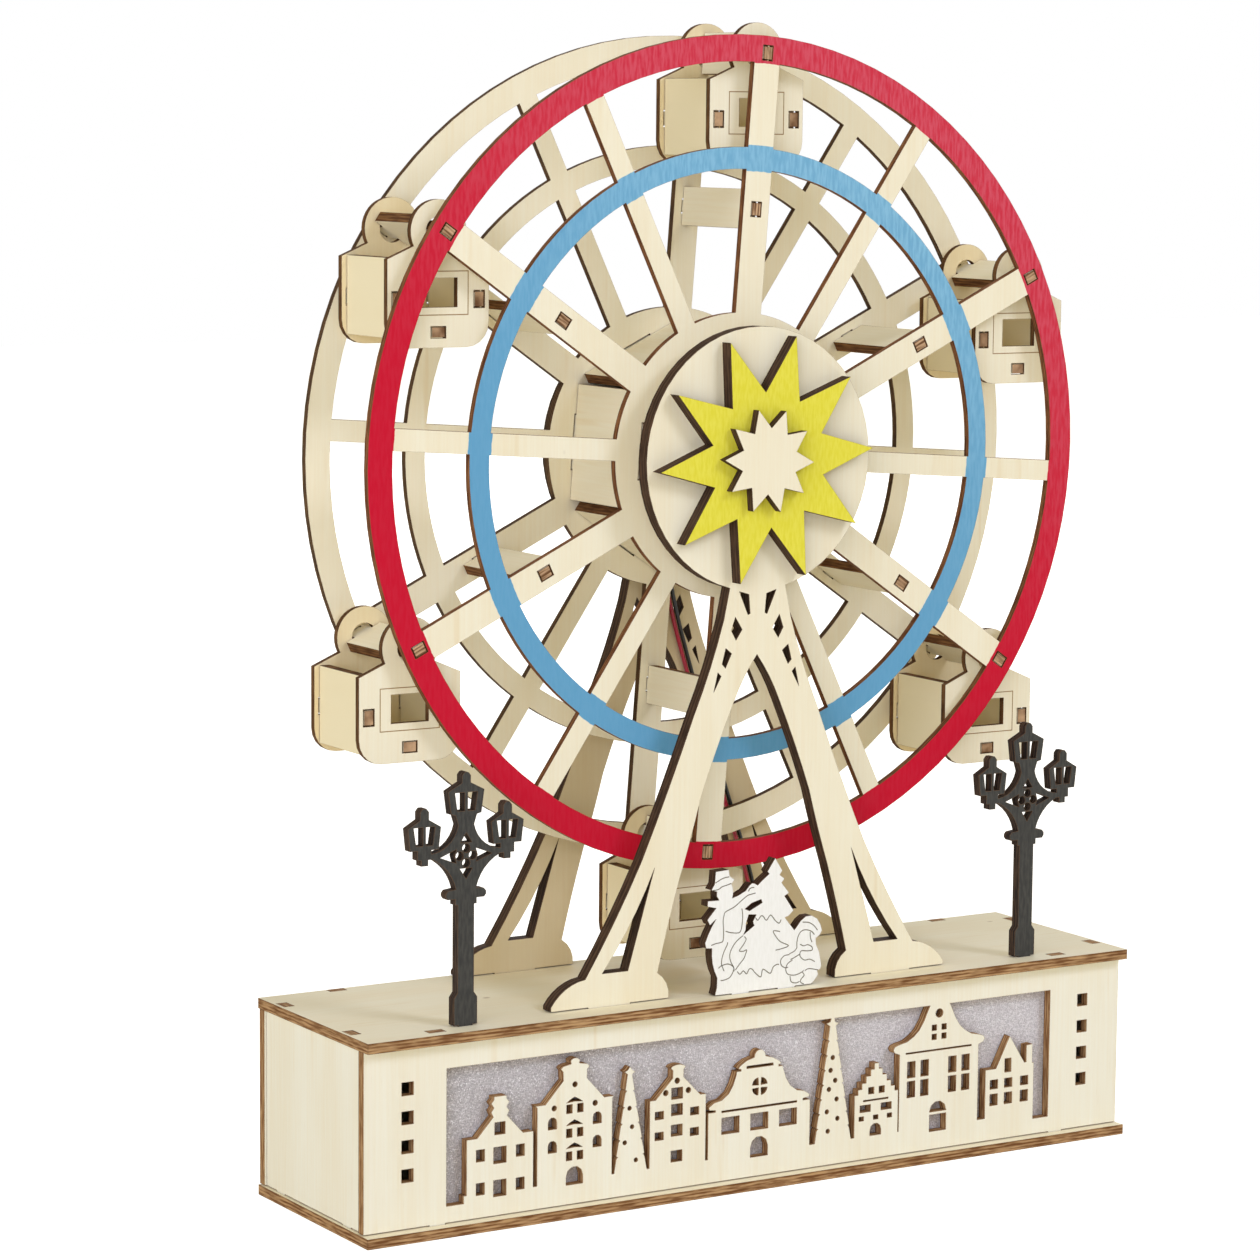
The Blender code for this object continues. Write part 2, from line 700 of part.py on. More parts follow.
leg_hole = [at(42.8, 9.6), at(51.5, 9.6)] + bow(at(51.5, 9.6), at(34.0, 39.2), 1.1, 5) + [at(34.0, 39.2)]
small_cuts = [[at(6.4, 117.1), at(3.0, 116.1), at(2.5, 110.5), at(3.3, 110.1)],
              [at(7.6, 109.8), at(5.2, 106.0), at(7.3, 102.9), at(9.0, 105.9)],
              [at(10.8, 100.9), at(8.7, 99.2), at(10.8, 95.0), at(12.0, 96.3)],
              [at(13.4, 94.0), at(12.2, 92.8), at(14.8, 88.1)]]
frame_cuts = []
for cut_loop in [leg_hole] + small_cuts:
    frame_cuts += [cut_loop, [(-u, v) for u, v in reversed(cut_loop)]]
bearing = circle((0, hub_height), shaft_radius + running_gap, 40)
solid("front_frame", frame_outline(), frame_cuts + [bearing], front_frame_front, front_frame_back,
      upright, ply)
solid("rear_frame", frame_outline(), frame_cuts, rear_frame_front, rear_frame_back, upright, ply)

# Stars on the front disc
star_back = front_frame_front - seat_gap
big_star = star(10, 36.4, 19.5, 3.6)
solid("yellow_star", moved(big_star, 0, hub_height), [], star_back - frame_ply, star_back, upright, yellow)
small_star_back = star_back - frame_ply - seat_gap
small_star_shape = star(10, 15.2, 9.5, -3.0)
small_star_shape = moved(small_star_shape, -1.7, hub_height)
solid("small_star", small_star_shape, [], small_star_back - 2.9, small_star_back, upright, ply)


# Street lamps

def lamp_outline():
    """Right half of a lamp with three lanterns, from its tenon to its top knob."""
    z = base_height
    half = [(0, z - figure_tenon_depth), (2.2, z - figure_tenon_depth), (2.2, z + seat_gap)]
    half += [(3.7, z + seat_gap), (3.7, z + 8.0), (2.6, z + 9.5), (2.6, z + 34.5)]
    half += [(3.4, z + 34.5), (3.4, z + 36.2)]
    half += [(5.8, z + 36.2), (6.4, z + 37.0), (6.4, z + 37.9), (5.7, z + 38.7)]
    half += [(3.2, z + 39.0)] + bow((3.2, z + 39.0), (10.9, z + 48.1), 1.4, 6)
    half += [(10.9, z + 48.1), (12.0, z + 48.1), (12.0, z + 46.4), (14.2, z + 46.4)]
    half += [(14.2, z + 48.1), (15.4, z + 48.1), (15.4, z + 50.8), (17.7, z + 50.8)]
    half += [(18.4, z + 57.1), (14.6, z + 59.3), (14.6, z + 61.5), (13.8, z + 62.5)]
    half += [(12.6, z + 62.5), (11.8, z + 61.5), (11.8, z + 59.3), (8.0, z + 57.1), (8.7, z + 50.8)]
    half += [(11.0, z + 50.8), (11.0, z + 49.6)]
    half += bow((11.0, z + 49.6), (2.5, z + 57.0), 1.9, 7)
    half += [(2.5, z + 57.0), (3.4, z + 59.8), (4.8, z + 60.1), (5.7, z + 66.6), (1.4, z + 68.8)]
    half += [(1.4, z + 70.8), (0.7, z + 71.7), (0, z + 71.9)]
    return mirrored(half)


def lamp_holes():
    """Lantern panes and the lattice under the arms."""
    z = base_height
    lattice = z + 48.3
    panes = [[(0.5, z + 60.9), (2.8, z + 60.9), (3.6, z + 66.1), (0.5, z + 66.1)]]
    panes += [[(13.65, z + 52.1), (15.8, z + 52.1), (16.6, z + 57.3), (13.65, z + 57.3)]]
    panes += [[(10.6, z + 52.1), (12.75, z + 52.1), (12.75, z + 57.3), (9.8, z + 57.3)]]
    holes = []
    for pane in panes:
        holes += [pane, [(-u, v) for u, v in reversed(pane)]]
    for turn in (0, 90, 180, 270):
        holes.append(circle(on_circle((0, lattice), 2.1, turn), 1.28, 14))
    holes.append([(-1.8, lattice + 3.7), (1.8, lattice + 3.7), (0, lattice + 6.5)])
    holes.append([(2.0, lattice - 3.6), (-2.0, lattice - 3.6), (0, lattice - 6.6)])
    side_hole = [(3.1, lattice - 1.95), (8.2, lattice), (3.1, lattice + 1.95), (3.7, lattice)]
    holes += [side_hole, [(-u, v) for u, v in reversed(side_hole)]]
    return holes


for side, name in ((-1, "left_lamp"), (1, "right_lamp")):
    holes = [moved(loop, side * lamp_x, 0) for loop in lamp_holes()]
    outline = moved(lamp_outline(), side * lamp_x, 0)
    solid(name, outline, holes, lamp_front, lamp_front + lamp_ply, upright, grey)


# Figures dressing a tree, one sheet

def figure_outline():
    """Grown-up in a tall hat, tree and kneeling child on a snowy mound, heights over the base."""
    deep = -figure_tenon_depth
    ground = [(-15.7, seat_gap)]
    for first, last in figure_tenons:
        ground += [(first, seat_gap), (first, deep), (last, deep), (last, seat_gap)]
    ground += [(17.6, seat_gap), (18.6, 0.9), (20.3, 2.9)]
    child = [(19.9, 4.0), (21.0, 4.4), (21.3, 5.6), (20.5, 9.6), (19.4, 11.8), (19.2, 13.8), (20.6, 14.6)]
    child += [(21.4, 15.9), (20.8, 17.8), (19.6, 19.6), (17.7, 20.7), (15.6, 20.6), (13.9, 19.5)]
    child += [(12.3, 17.6), (11.6, 16.9)]
    tree_right = [(8.2, 21.0), (9.6, 21.4), (11.2, 22.8), (8.0, 27.4), (9.6, 28.2), (6.9, 31.4)]
    tree_right += [(7.9, 32.6), (6.2, 33.8), (7.1, 35.0), (4.6, 38.9)]
    tree_left = [(2.0, 35.2), (2.6, 34.4), (0.2, 32.7), (-1.4, 31.4)]
    arm = [(-2.4, 32.0), (-3.4, 32.2), (-4.2, 31.6), (-5.6, 30.1), (-8.1, 29.0), (-10.2, 28.4)]
    hat = bow((-10.2, 28.4), (-10.5, 32.7), -0.5, 4)
    hat += [(-10.5, 32.7), (-9.4, 33.8), (-11.1, 35.0), (-11.4, 36.9)]
    hat += [(-15.9, 36.7), (-16.2, 33.1), (-17.3, 31.4)]
    scarf = [(-15.4, 30.8), (-15.5, 29.5), (-14.6, 28.2), (-18.5, 28.3), (-18.6, 26.7)]
    scarf += [(-15.6, 26.0), (-18.6, 22.8), (-17.7, 21.2)]
    coat = [(-15.5, 22.9)] + bow((-15.5, 22.9), (-19.3, 16.0), -0.3, 3) + [(-19.3, 16.0), (-18.9, 14.5)]
    legs = [(-16.9, 14.3)] + bow((-16.9, 14.3), (-15.0, 5.4), -0.7, 4) + [(-15.0, 5.4), (-15.1, 2.6)]
    points = ground + child + tree_right + tree_left + arm + hat + scarf + coat + legs
    return moved(points, 0, base_height)


upper_gap = [(-5.8, 24.8), (-4.1, 24.1), (0.3, 26.1), (-0.1, 27.2), (-3.4, 26.4)]
lower_gap = [(-6.2, 17.2), (-4.0, 18.6), (-2.4, 19.6), (-2.9, 20.9), (-1.7, 22.8)]
lower_gap += [(-4.4, 23.1), (-5.3, 20.6), (-5.4, 18.7)]
figure_gaps = [moved(loop, 0, base_height) for loop in (upper_gap, lower_gap)]
solid("figure_group", figure_outline(), figure_gaps, figure_front, figure_front + figure_ply, upright, white)


# Wheel

hub = (0, 0, hub_height)


def spoke_angle(number):
    """Even numbers are the wide spokes, odd ones the plain spokes."""
    return wheel_turn + 180 / spoke_pairs * number


def bay(inner, outer, number):
    """The open field between two spokes and two rings."""
    halves = [wide_spoke / 2, plain_spoke / 2]
    if number % 2:
        halves.reverse()
    first, last = spoke_angle(number), spoke_angle(number + 1)
    points = []
    for radius, way in ((inner, 1), (outer, -1)):
        start = first + math.degrees(math.asin(halves[0] / radius))
        end = last - math.degrees(math.asin(halves[1] / radius))
        run = arc((0, 0), radius, start, end, 8)
        points += run if way == 1 else list(reversed(run))
    return points


def turned_slot(radius, radial_size, round_size, angle):
    """A slot for a tenon at a radius of the wheel, with clearance all round."""
    out = on_circle((0, 0), 1, angle)
    corners = slot(radius - radial_size / 2, -round_size / 2, radius + radial_size / 2, round_size / 2,
                   end_play, flat_play)
    return [(u * out[0] - v * out[1], u * out[1] + v * out[0]) for u, v in corners]


wheel_holes = []
for number in range(2 * spoke_pairs):
    wheel_holes.append(bay(hub_radius, middle_ring_in, number))
    wheel_holes.append(bay(middle_ring_out, wheel_radius - rim_width, number))
for number in range(spoke_pairs):
    wide = spoke_angle(2 * number)
    plain = spoke_angle(2 * number + 1)
    for radius in (axle_radius, cross_plate_radius):
        wheel_holes.append(turned_slot(radius, tenon_radial, wheel_ply, wide))
    wheel_holes.append(turned_slot(drum_centre, wheel_ply, 2 * drum_tenon_half, plain))
wheel_holes = [moved(loop, 0, hub_height) for loop in wheel_holes]
rim = circle((0, hub_height), wheel_radius, 96)
shaft_hole = circle((0, hub_height), shaft_radius + seat_gap, 40)
motor_hole = circle((0, hub_height), 24.0, 48)
solid("front_wheel", rim, wheel_holes + [shaft_hole], front_wheel_front, front_wheel_back, upright, ply,
      pivot=hub)
solid("rear_wheel", rim, wheel_holes + [motor_hole], rear_wheel_front, rear_wheel_back, upright, ply,
      pivot=hub)


def spacer_outline(centre, half_body, half_tenon):
    """A piece between the wheels with a tenon at each end."""
    front_shoulder = front_wheel_back + seat_gap
    back_shoulder = rear_wheel_front - seat_gap
    lower = [(-half_body, front_shoulder), (-half_tenon, front_shoulder), (-half_tenon, front_wheel_front),
             (half_tenon, front_wheel_front), (half_tenon, front_shoulder), (half_body, front_shoulder)]
    upper = [(half_body, back_shoulder), (half_tenon, back_shoulder), (half_tenon, rear_wheel_back),
             (-half_tenon, rear_wheel_back), (-half_tenon, back_shoulder), (-half_body, back_shoulder)]
    return moved(lower + upper, centre, 0)


neck_half = 3.0
bar_half = 6.0


def axle_outline():
    """The axle bar: wide between the gondola plates, a neck in each ear hole, tenons at the ends."""
    front_shoulder = front_wheel_back + seat_gap
    back_shoulder = rear_wheel_front - seat_gap
    front_neck = gondola_front + gondola_ply + 0.5
    back_neck = gondola_back - gondola_ply - 0.5
    half_tenon = tenon_radial / 2
    right = [(half_tenon, front_wheel_front), (half_tenon, front_shoulder), (neck_half, front_shoulder),
             (neck_half, front_neck), (bar_half, front_neck), (bar_half, back_neck), (neck_half, back_neck),
             (neck_half, back_shoulder), (half_tenon, back_shoulder), (half_tenon, rear_wheel_back)]
    left = [(-u, v) for u, v in reversed(right)]
    return moved(right + left, axle_radius, 0)


half_ply = wheel_ply / 2
for number in range(spoke_pairs):
    wide = spoke_angle(2 * number)
    plain = spoke_angle(2 * number + 1)
    label = str(number + 1)
    cross_outline = spacer_outline(cross_plate_radius, cross_plate_size / 2, tenon_radial / 2)
    solid("cross_plate_" + label, cross_outline, [],
          -half_ply, half_ply, radial(wide), ply, pivot=hub)
    solid("axle_bar_" + label, axle_outline(), [], -half_ply, half_ply, radial(wide), ply, pivot=hub)
    solid("drum_panel_" + label, spacer_outline(0, drum_half_width, drum_tenon_half), [],
          drum_centre - half_ply, drum_centre + half_ply, tangent(plain), ply, pivot=hub)


# Gondolas

def gondola_plate_outline():
    """An ear for the axle over a wide body with round lower corners."""
    joint = math.degrees(math.atan2(-4.1, 7.8))
    right = [(0, -gondola_drop)]
    right += arc((gondola_half_width - 7, -gondola_drop + 7), 7, -90, 0, 5)
    right += [(gondola_half_width, -7.6)]
    shoulder = arc((0, 0), ear_radius, joint, 90, 12)
    right += shoulder
    right[-1] = (0, ear_radius)
    return mirrored(right)


wall_tenon = (floor_low + 8.5, floor_low + 12.6)
floor_tenon_half = 2.0
wall_top = -7.3
gondola_slots = []
for side in (-1, 1):
    centre = side * wall_centre
    gondola_slots.append(slot(centre - half_ply, wall_tenon[0], centre + half_ply, wall_tenon[1],
                              flat_play, end_play))
gondola_slots.append(slot(-floor_tenon_half, floor_low + 0.1, floor_tenon_half, floor_high - 0.1,
                          end_play, flat_play))
gondola_slots.append(circle((0, 0), ear_hole_radius, 32))
gondola_slots.append(rect(-6.0, floor_low + 8.4, 6.0, floor_low + 16.6))


def tub_outline():
    """Floor between two end walls, seen from the front."""
    inner, outer = wall_centre - half_ply, wall_centre + half_ply
    right = [(0, floor_low), (outer, floor_low), (outer, wall_top), (inner, wall_top)]
    right += [(inner, floor_high), (0, floor_high)]
    left = [(-u, v) for u, v in reversed(right) if u > 0]
    return right + left


tub_front = gondola_front + gondola_ply + seat_gap
tub_back = gondola_back - gondola_ply - seat_gap
tub_tenons = []
for side in (-1, 1):
    low_u, high_u = side * wall_centre - half_ply + 0.1, side * wall_centre + half_ply - 0.1
    tub_tenons.append(rect(low_u, wall_tenon[0], high_u, wall_tenon[1]))
tub_tenons.append(rect(-floor_tenon_half, floor_low + 0.1, floor_tenon_half, floor_high - 0.1))


def hung(u, v, level):
    """A gondola point beside the first axle."""
    first = on_circle((0, hub_height), axle_radius, spoke_angle(0))
    return (first[0] + u, level, first[1] + v)


def axle_point(number):
    """Centre of an axle bar in the front view."""
    point = on_circle((0, hub_height), axle_radius, spoke_angle(2 * number))
    return (point[0], 0, point[1])


front_plate = solid("gondola_1_front", gondola_plate_outline(), gondola_slots, gondola_front,
                    gondola_front + gondola_ply, hung, ply, pivot=axle_point(0))
rear_plate = solid("gondola_1_rear", gondola_plate_outline(), gondola_slots, gondola_back - gondola_ply,
                   gondola_back, hung, ply, pivot=axle_point(0))
tub = solid("gondola_1_tub", tub_outline(), [], tub_front, tub_back, hung, ply, pivot=axle_point(0),
            low_steps=[(loop, gondola_front) for loop in tub_tenons],
            high_steps=[(loop, gondola_back) for loop in tub_tenons])
for number in range(1, spoke_pairs):
    label = str(number + 1)
    copied(front_plate, "gondola_" + label + "_front", axle_point(number))
    copied(rear_plate, "gondola_" + label + "_rear", axle_point(number))
    copied(tub, "gondola_" + label + "_tub", axle_point(number))


# Drive and wiring

collar = 5.0
flange = 10.0
shaft_front = front_frame_front + seat_gap
collar_front = front_frame_back + 0.4
flange_front = front_wheel_back + seat_gap
flange_back = flange_front + 2
shaft_back = motor_front + 7
shaft_profile = [(shaft_front, 0), (shaft_front, shaft_radius),
                 (collar_front, shaft_radius), (collar_front, collar),
                 (front_wheel_front - seat_gap, collar), (front_wheel_front - seat_gap, shaft_radius),
                 (flange_front, shaft_radius), (flange_front, flange), (flange_back, flange),
                 (flange_back, shaft_radius), (shaft_back, shaft_radius), (shaft_back, 0)]
turned("drive_shaft", shaft_profile, metal, pivot=hub)
bore = shaft_radius + running_gap
boss = 5.5
boss_front = motor_front - 3
bore_end = shaft_back + 1
motor_profile = [(bore_end, 0), (bore_end, bore), (boss_front, bore), (boss_front, boss),
                 (motor_front, boss), (motor_front, motor_radius - 1), (motor_front + 1, motor_radius),
                 (motor_back, motor_radius), (motor_back, 0)]
turned("motor", motor_profile, metal)


def smooth(points, steps=6):
    """A soft curve through the points."""
    path = []
    padded = [points[0]] + points + [points[-1]]
    for before, start, end, after in zip(padded, padded[1:], padded[2:], padded[3:]):
        for step in range(steps):
            t = step / steps
            values = []
            for a, b, c, d in zip(before, start, end, after):
                bend = 2 * a - 5 * b + 4 * c - d + t * (3 * (b - c) + d - a)
                values.append(b + 0.5 * t * (c - a + t * bend))
            path.append(tuple(values))
    return path + [points[-1]]


wire_radius = 0.6
wire_apart = wire_radius + 0.2
wire_start = hub_height - motor_radius - 0.5
wire_way = [(0, wire_start), (0.4, wire_start - 5), at(3.6, 110.2), at(10.8, 85.7),
            at(22.6, 52.0), at(32.6, 23.0), (wire_x, base_height + 6), (wire_x, base_height - 2),
            (wire_x, box_top + 12), (wire_x, box_top + seat_gap)]
for side, name, cover in ((-1, "wire_red", red_cover), (1, "wire_black", black_cover)):
    path = []
    flat_path = smooth([(u, 0, v) for u, v in wire_way])
    for index, (u, level, v) in enumerate(flat_path):
        ahead = flat_path[min(index + 1, len(flat_path) - 1)]
        behind = flat_path[max(index - 1, 0)]
        way = Vector((ahead[0] - behind[0], ahead[2] - behind[2])).normalized()
        path.append((u - way.y * side * wire_apart, wire_y, v + way.x * side * wire_apart))
    path[0] = (path[0][0], path[0][1], wire_start)
    path[-1] = (path[-1][0], path[-1][1], box_top + seat_gap)
    cable(name, path, wire_radius, cover)
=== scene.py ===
"""Looks of the wooden ferris wheel decoration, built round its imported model.

Lengths are in millimetres where a name has no MM beside it, and in metres once multiplied by MM."""

import json
import math

import bmesh
import bpy
import numpy as np
from mathutils import Matrix, Vector


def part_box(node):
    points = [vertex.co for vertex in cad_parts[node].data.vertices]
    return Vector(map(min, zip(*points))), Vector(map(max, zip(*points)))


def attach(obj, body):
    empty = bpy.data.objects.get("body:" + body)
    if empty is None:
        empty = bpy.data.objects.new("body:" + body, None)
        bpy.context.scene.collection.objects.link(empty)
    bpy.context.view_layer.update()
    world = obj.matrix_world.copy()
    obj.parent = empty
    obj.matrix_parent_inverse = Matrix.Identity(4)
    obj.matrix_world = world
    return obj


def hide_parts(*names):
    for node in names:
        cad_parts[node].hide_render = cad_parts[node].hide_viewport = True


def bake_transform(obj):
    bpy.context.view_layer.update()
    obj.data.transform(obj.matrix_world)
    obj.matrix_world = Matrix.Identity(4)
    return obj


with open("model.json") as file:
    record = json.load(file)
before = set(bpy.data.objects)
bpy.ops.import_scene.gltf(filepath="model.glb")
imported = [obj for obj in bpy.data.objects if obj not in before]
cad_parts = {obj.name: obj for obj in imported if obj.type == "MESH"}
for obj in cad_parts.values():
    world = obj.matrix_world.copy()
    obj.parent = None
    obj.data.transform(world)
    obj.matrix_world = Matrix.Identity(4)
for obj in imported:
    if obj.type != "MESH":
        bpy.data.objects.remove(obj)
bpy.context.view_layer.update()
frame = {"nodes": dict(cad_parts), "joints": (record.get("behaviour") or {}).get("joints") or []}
parts = frame["nodes"]
joints = {joint["name"]: joint for joint in frame["joints"]}

MM = 0.001
ALONG_X = Vector((1, 0, 0))
ALONG_Y = Vector((0, 1, 0))
ALONG_Z = Vector((0, 0, 1))
hub = Vector(joints["wheel_spin"]["pos_m"])


# Camera, at the photograph's place

camera_place = Vector((-0.6418, -1.0006, 0.3111))
camera_turn = math.radians(31.53)
camera_tilt = math.radians(7.22)
camera_roll = math.radians(0.52)
photo_size = 1260
focal_pixels = 4072
sensor = 36.0

ahead = Vector((math.sin(camera_turn) * math.cos(camera_tilt),
                math.cos(camera_turn) * math.cos(camera_tilt), -math.sin(camera_tilt)))
level_right = Vector((math.cos(camera_turn), -math.sin(camera_turn), 0))
level_up = level_right.cross(ahead)
right = level_right * math.cos(camera_roll) + level_up * math.sin(camera_roll)
up = level_up * math.cos(camera_roll) - level_right * math.sin(camera_roll)
camera = bpy.data.objects.new("camera", bpy.data.cameras.new("camera"))
camera.data.sensor_width = sensor
camera.data.lens = focal_pixels / photo_size * sensor
camera.data.clip_start = 0.05
camera.data.clip_end = 50
camera_axes = Matrix((right, up, -ahead)).transposed().to_4x4()
camera.matrix_world = Matrix.Translation(camera_place) @ camera_axes
bpy.context.scene.collection.objects.link(camera)
bpy.context.scene.camera = camera


# Materials

def rgb(red, green, blue):
    """A display colour, 0 to 255, in the linear values that Blender takes."""
    def linear(value):
        value /= 255
        return value / 12.92 if value < 0.04045 else ((value + 0.055) / 1.055) ** 2.4
    return (linear(red), linear(green), linear(blue), 1.0)


class Surface:
    """A material and short calls for the nodes in it."""

    def __init__(self, name, roughness=0.6, metallic=0.0, gloss=0.5):
        self.material = bpy.data.materials.new(name)
        self.material.use_nodes = True
        self.tree = self.material.node_tree
        self.shader = self.tree.nodes["Principled BSDF"]
        self.set("Roughness", roughness)
        self.set("Metallic", metallic)
        self.set("Specular IOR Level", gloss)
        place = self.tree.nodes.new("ShaderNodeTexCoord")
        self.normal = place.outputs["Normal"]
        self.place = self.vector("SCALE", place.outputs["Object"], scale=1 / MM)

    def feed(self, socket, value):
        if isinstance(value, bpy.types.NodeSocket):
            self.tree.links.new(value, socket)
        else:
            socket.default_value = value

    def set(self, name, value):
        self.feed(self.shader.inputs[name], value)

    def maths(self, operation, *values):
        node = self.tree.nodes.new("ShaderNodeMath")
        node.operation = operation
        for socket, value in zip(node.inputs, values):
            self.feed(socket, value)
        return node.outputs[0]

    def vector(self, operation, first, second=None, scale=None):
        node = self.tree.nodes.new("ShaderNodeVectorMath")
        node.operation = operation
        self.feed(node.inputs[0], first)
        if second is not None:
            self.feed(node.inputs[1], second)
        if scale is not None:
            node.inputs["Scale"].default_value = scale
        return node.outputs["Value" if operation in ("DOT_PRODUCT", "LENGTH") else "Vector"]

    def combine(self, x, y, z):
        node = self.tree.nodes.new("ShaderNodeCombineXYZ")
        for socket, value in zip(node.inputs, (x, y, z)):
            self.feed(socket, value)
        return node.outputs[0]

    def noise(self, vector, detail=2.0):
        """Clouds with a grain of about one unit of the vector."""
        node = self.tree.nodes.new("ShaderNodeTexNoise")
        self.feed(node.inputs["Vector"], vector)
        node.inputs["Scale"].default_value = 1.0
        node.inputs["Detail"].default_value = detail
        node.inputs["Roughness"].default_value = 0.5
        return node.outputs[0]

    def cells(self, vector):
        """Cells about one unit of the vector wide, with the distance to their middle and a colour."""
        node = self.tree.nodes.new("ShaderNodeTexVoronoi")
        node.feature = "F1"
        self.feed(node.inputs["Vector"], vector)
        node.inputs["Scale"].default_value = 1.0
        return node

    def between(self, value, low, high):
        """0 below low, 1 above high, smooth in between."""
        node = self.tree.nodes.new("ShaderNodeMapRange")
        node.interpolation_type = "SMOOTHSTEP"
        self.feed(node.inputs["Value"], value)
        node.inputs["From Min"].default_value = low
        node.inputs["From Max"].default_value = high
        return node.outputs[0]

    def mix(self, share, first, second):
        node = self.tree.nodes.new("ShaderNodeMix")
        node.data_type = "RGBA"
        self.feed(node.inputs[0], share)
        self.feed(node.inputs[6], first)
        self.feed(node.inputs[7], second)
        return node.outputs[2]

    def bump(self, height, depth):
        """Relief of up to depth millimetres."""
        node = self.tree.nodes.new("ShaderNodeBump")
        node.inputs["Strength"].default_value = 1.0
        node.inputs["Distance"].default_value = depth * MM
        self.feed(node.inputs["Height"], height)
        self.set("Normal", node.outputs[0])

    def near_edge(self, width):
        """1 beside a sharp edge of the piece, 0 further from it than the width."""
        rounded = self.tree.nodes.new("ShaderNodeBevel")
        rounded.samples = 6
        rounded.inputs["Radius"].default_value = width * MM
        plain = self.tree.nodes.new("ShaderNodeNewGeometry")
        agreement = self.vector("DOT_PRODUCT", rounded.outputs[0], plain.outputs["True Normal"])
        return self.between(self.maths("SUBTRACT", 1.0, agreement), 0.01, 0.2)


birch_light = rgb(248, 242, 218)
birch_deep = rgb(243, 232, 201)
birch_fleck = rgb(205, 183, 140)
birch_stain = rgb(230, 207, 158)
birch_knot = rgb(150, 116, 66)
scorch = rgb(134, 96, 58)
cut_rim = rgb(50, 32, 20)

# Cut edges, darkest where the laser went slowly through thick sheets
base_cut = (rgb(116, 76, 44), rgb(196, 158, 112))
wheel_cut = (rgb(84, 48, 28), rgb(150, 102, 64))
rear_cut = (rgb(56, 40, 26), rgb(110, 82, 54))
frame_cut = (rgb(52, 37, 27), rgb(90, 68, 50))
thin_cut = (rgb(66, 42, 22), rgb(124, 88, 54))
bar_cut = (rgb(84, 52, 28), rgb(138, 98, 60))
tenon_cut = (rgb(112, 78, 52), rgb(208, 172, 134))
lamp_cut = (rgb(36, 31, 30), rgb(84, 66, 52))


def span(node, direction):
    """Lowest and highest place of a node along a direction, in millimetres."""
    places = np.array([vertex.co for vertex in parts[node].data.vertices])
    along = places @ np.array(direction) / MM
    return float(along.min()), float(along.max())


plain_tone = (1.0, 1.0, 1.0, 1.0)
birch_colours = (birch_light, birch_deep, birch_stain, birch_fleck, birch_knot)
scorch_width = 0.32
scorch_share = 0.75
grain_depth = 0.012
paint_edge = 0.1


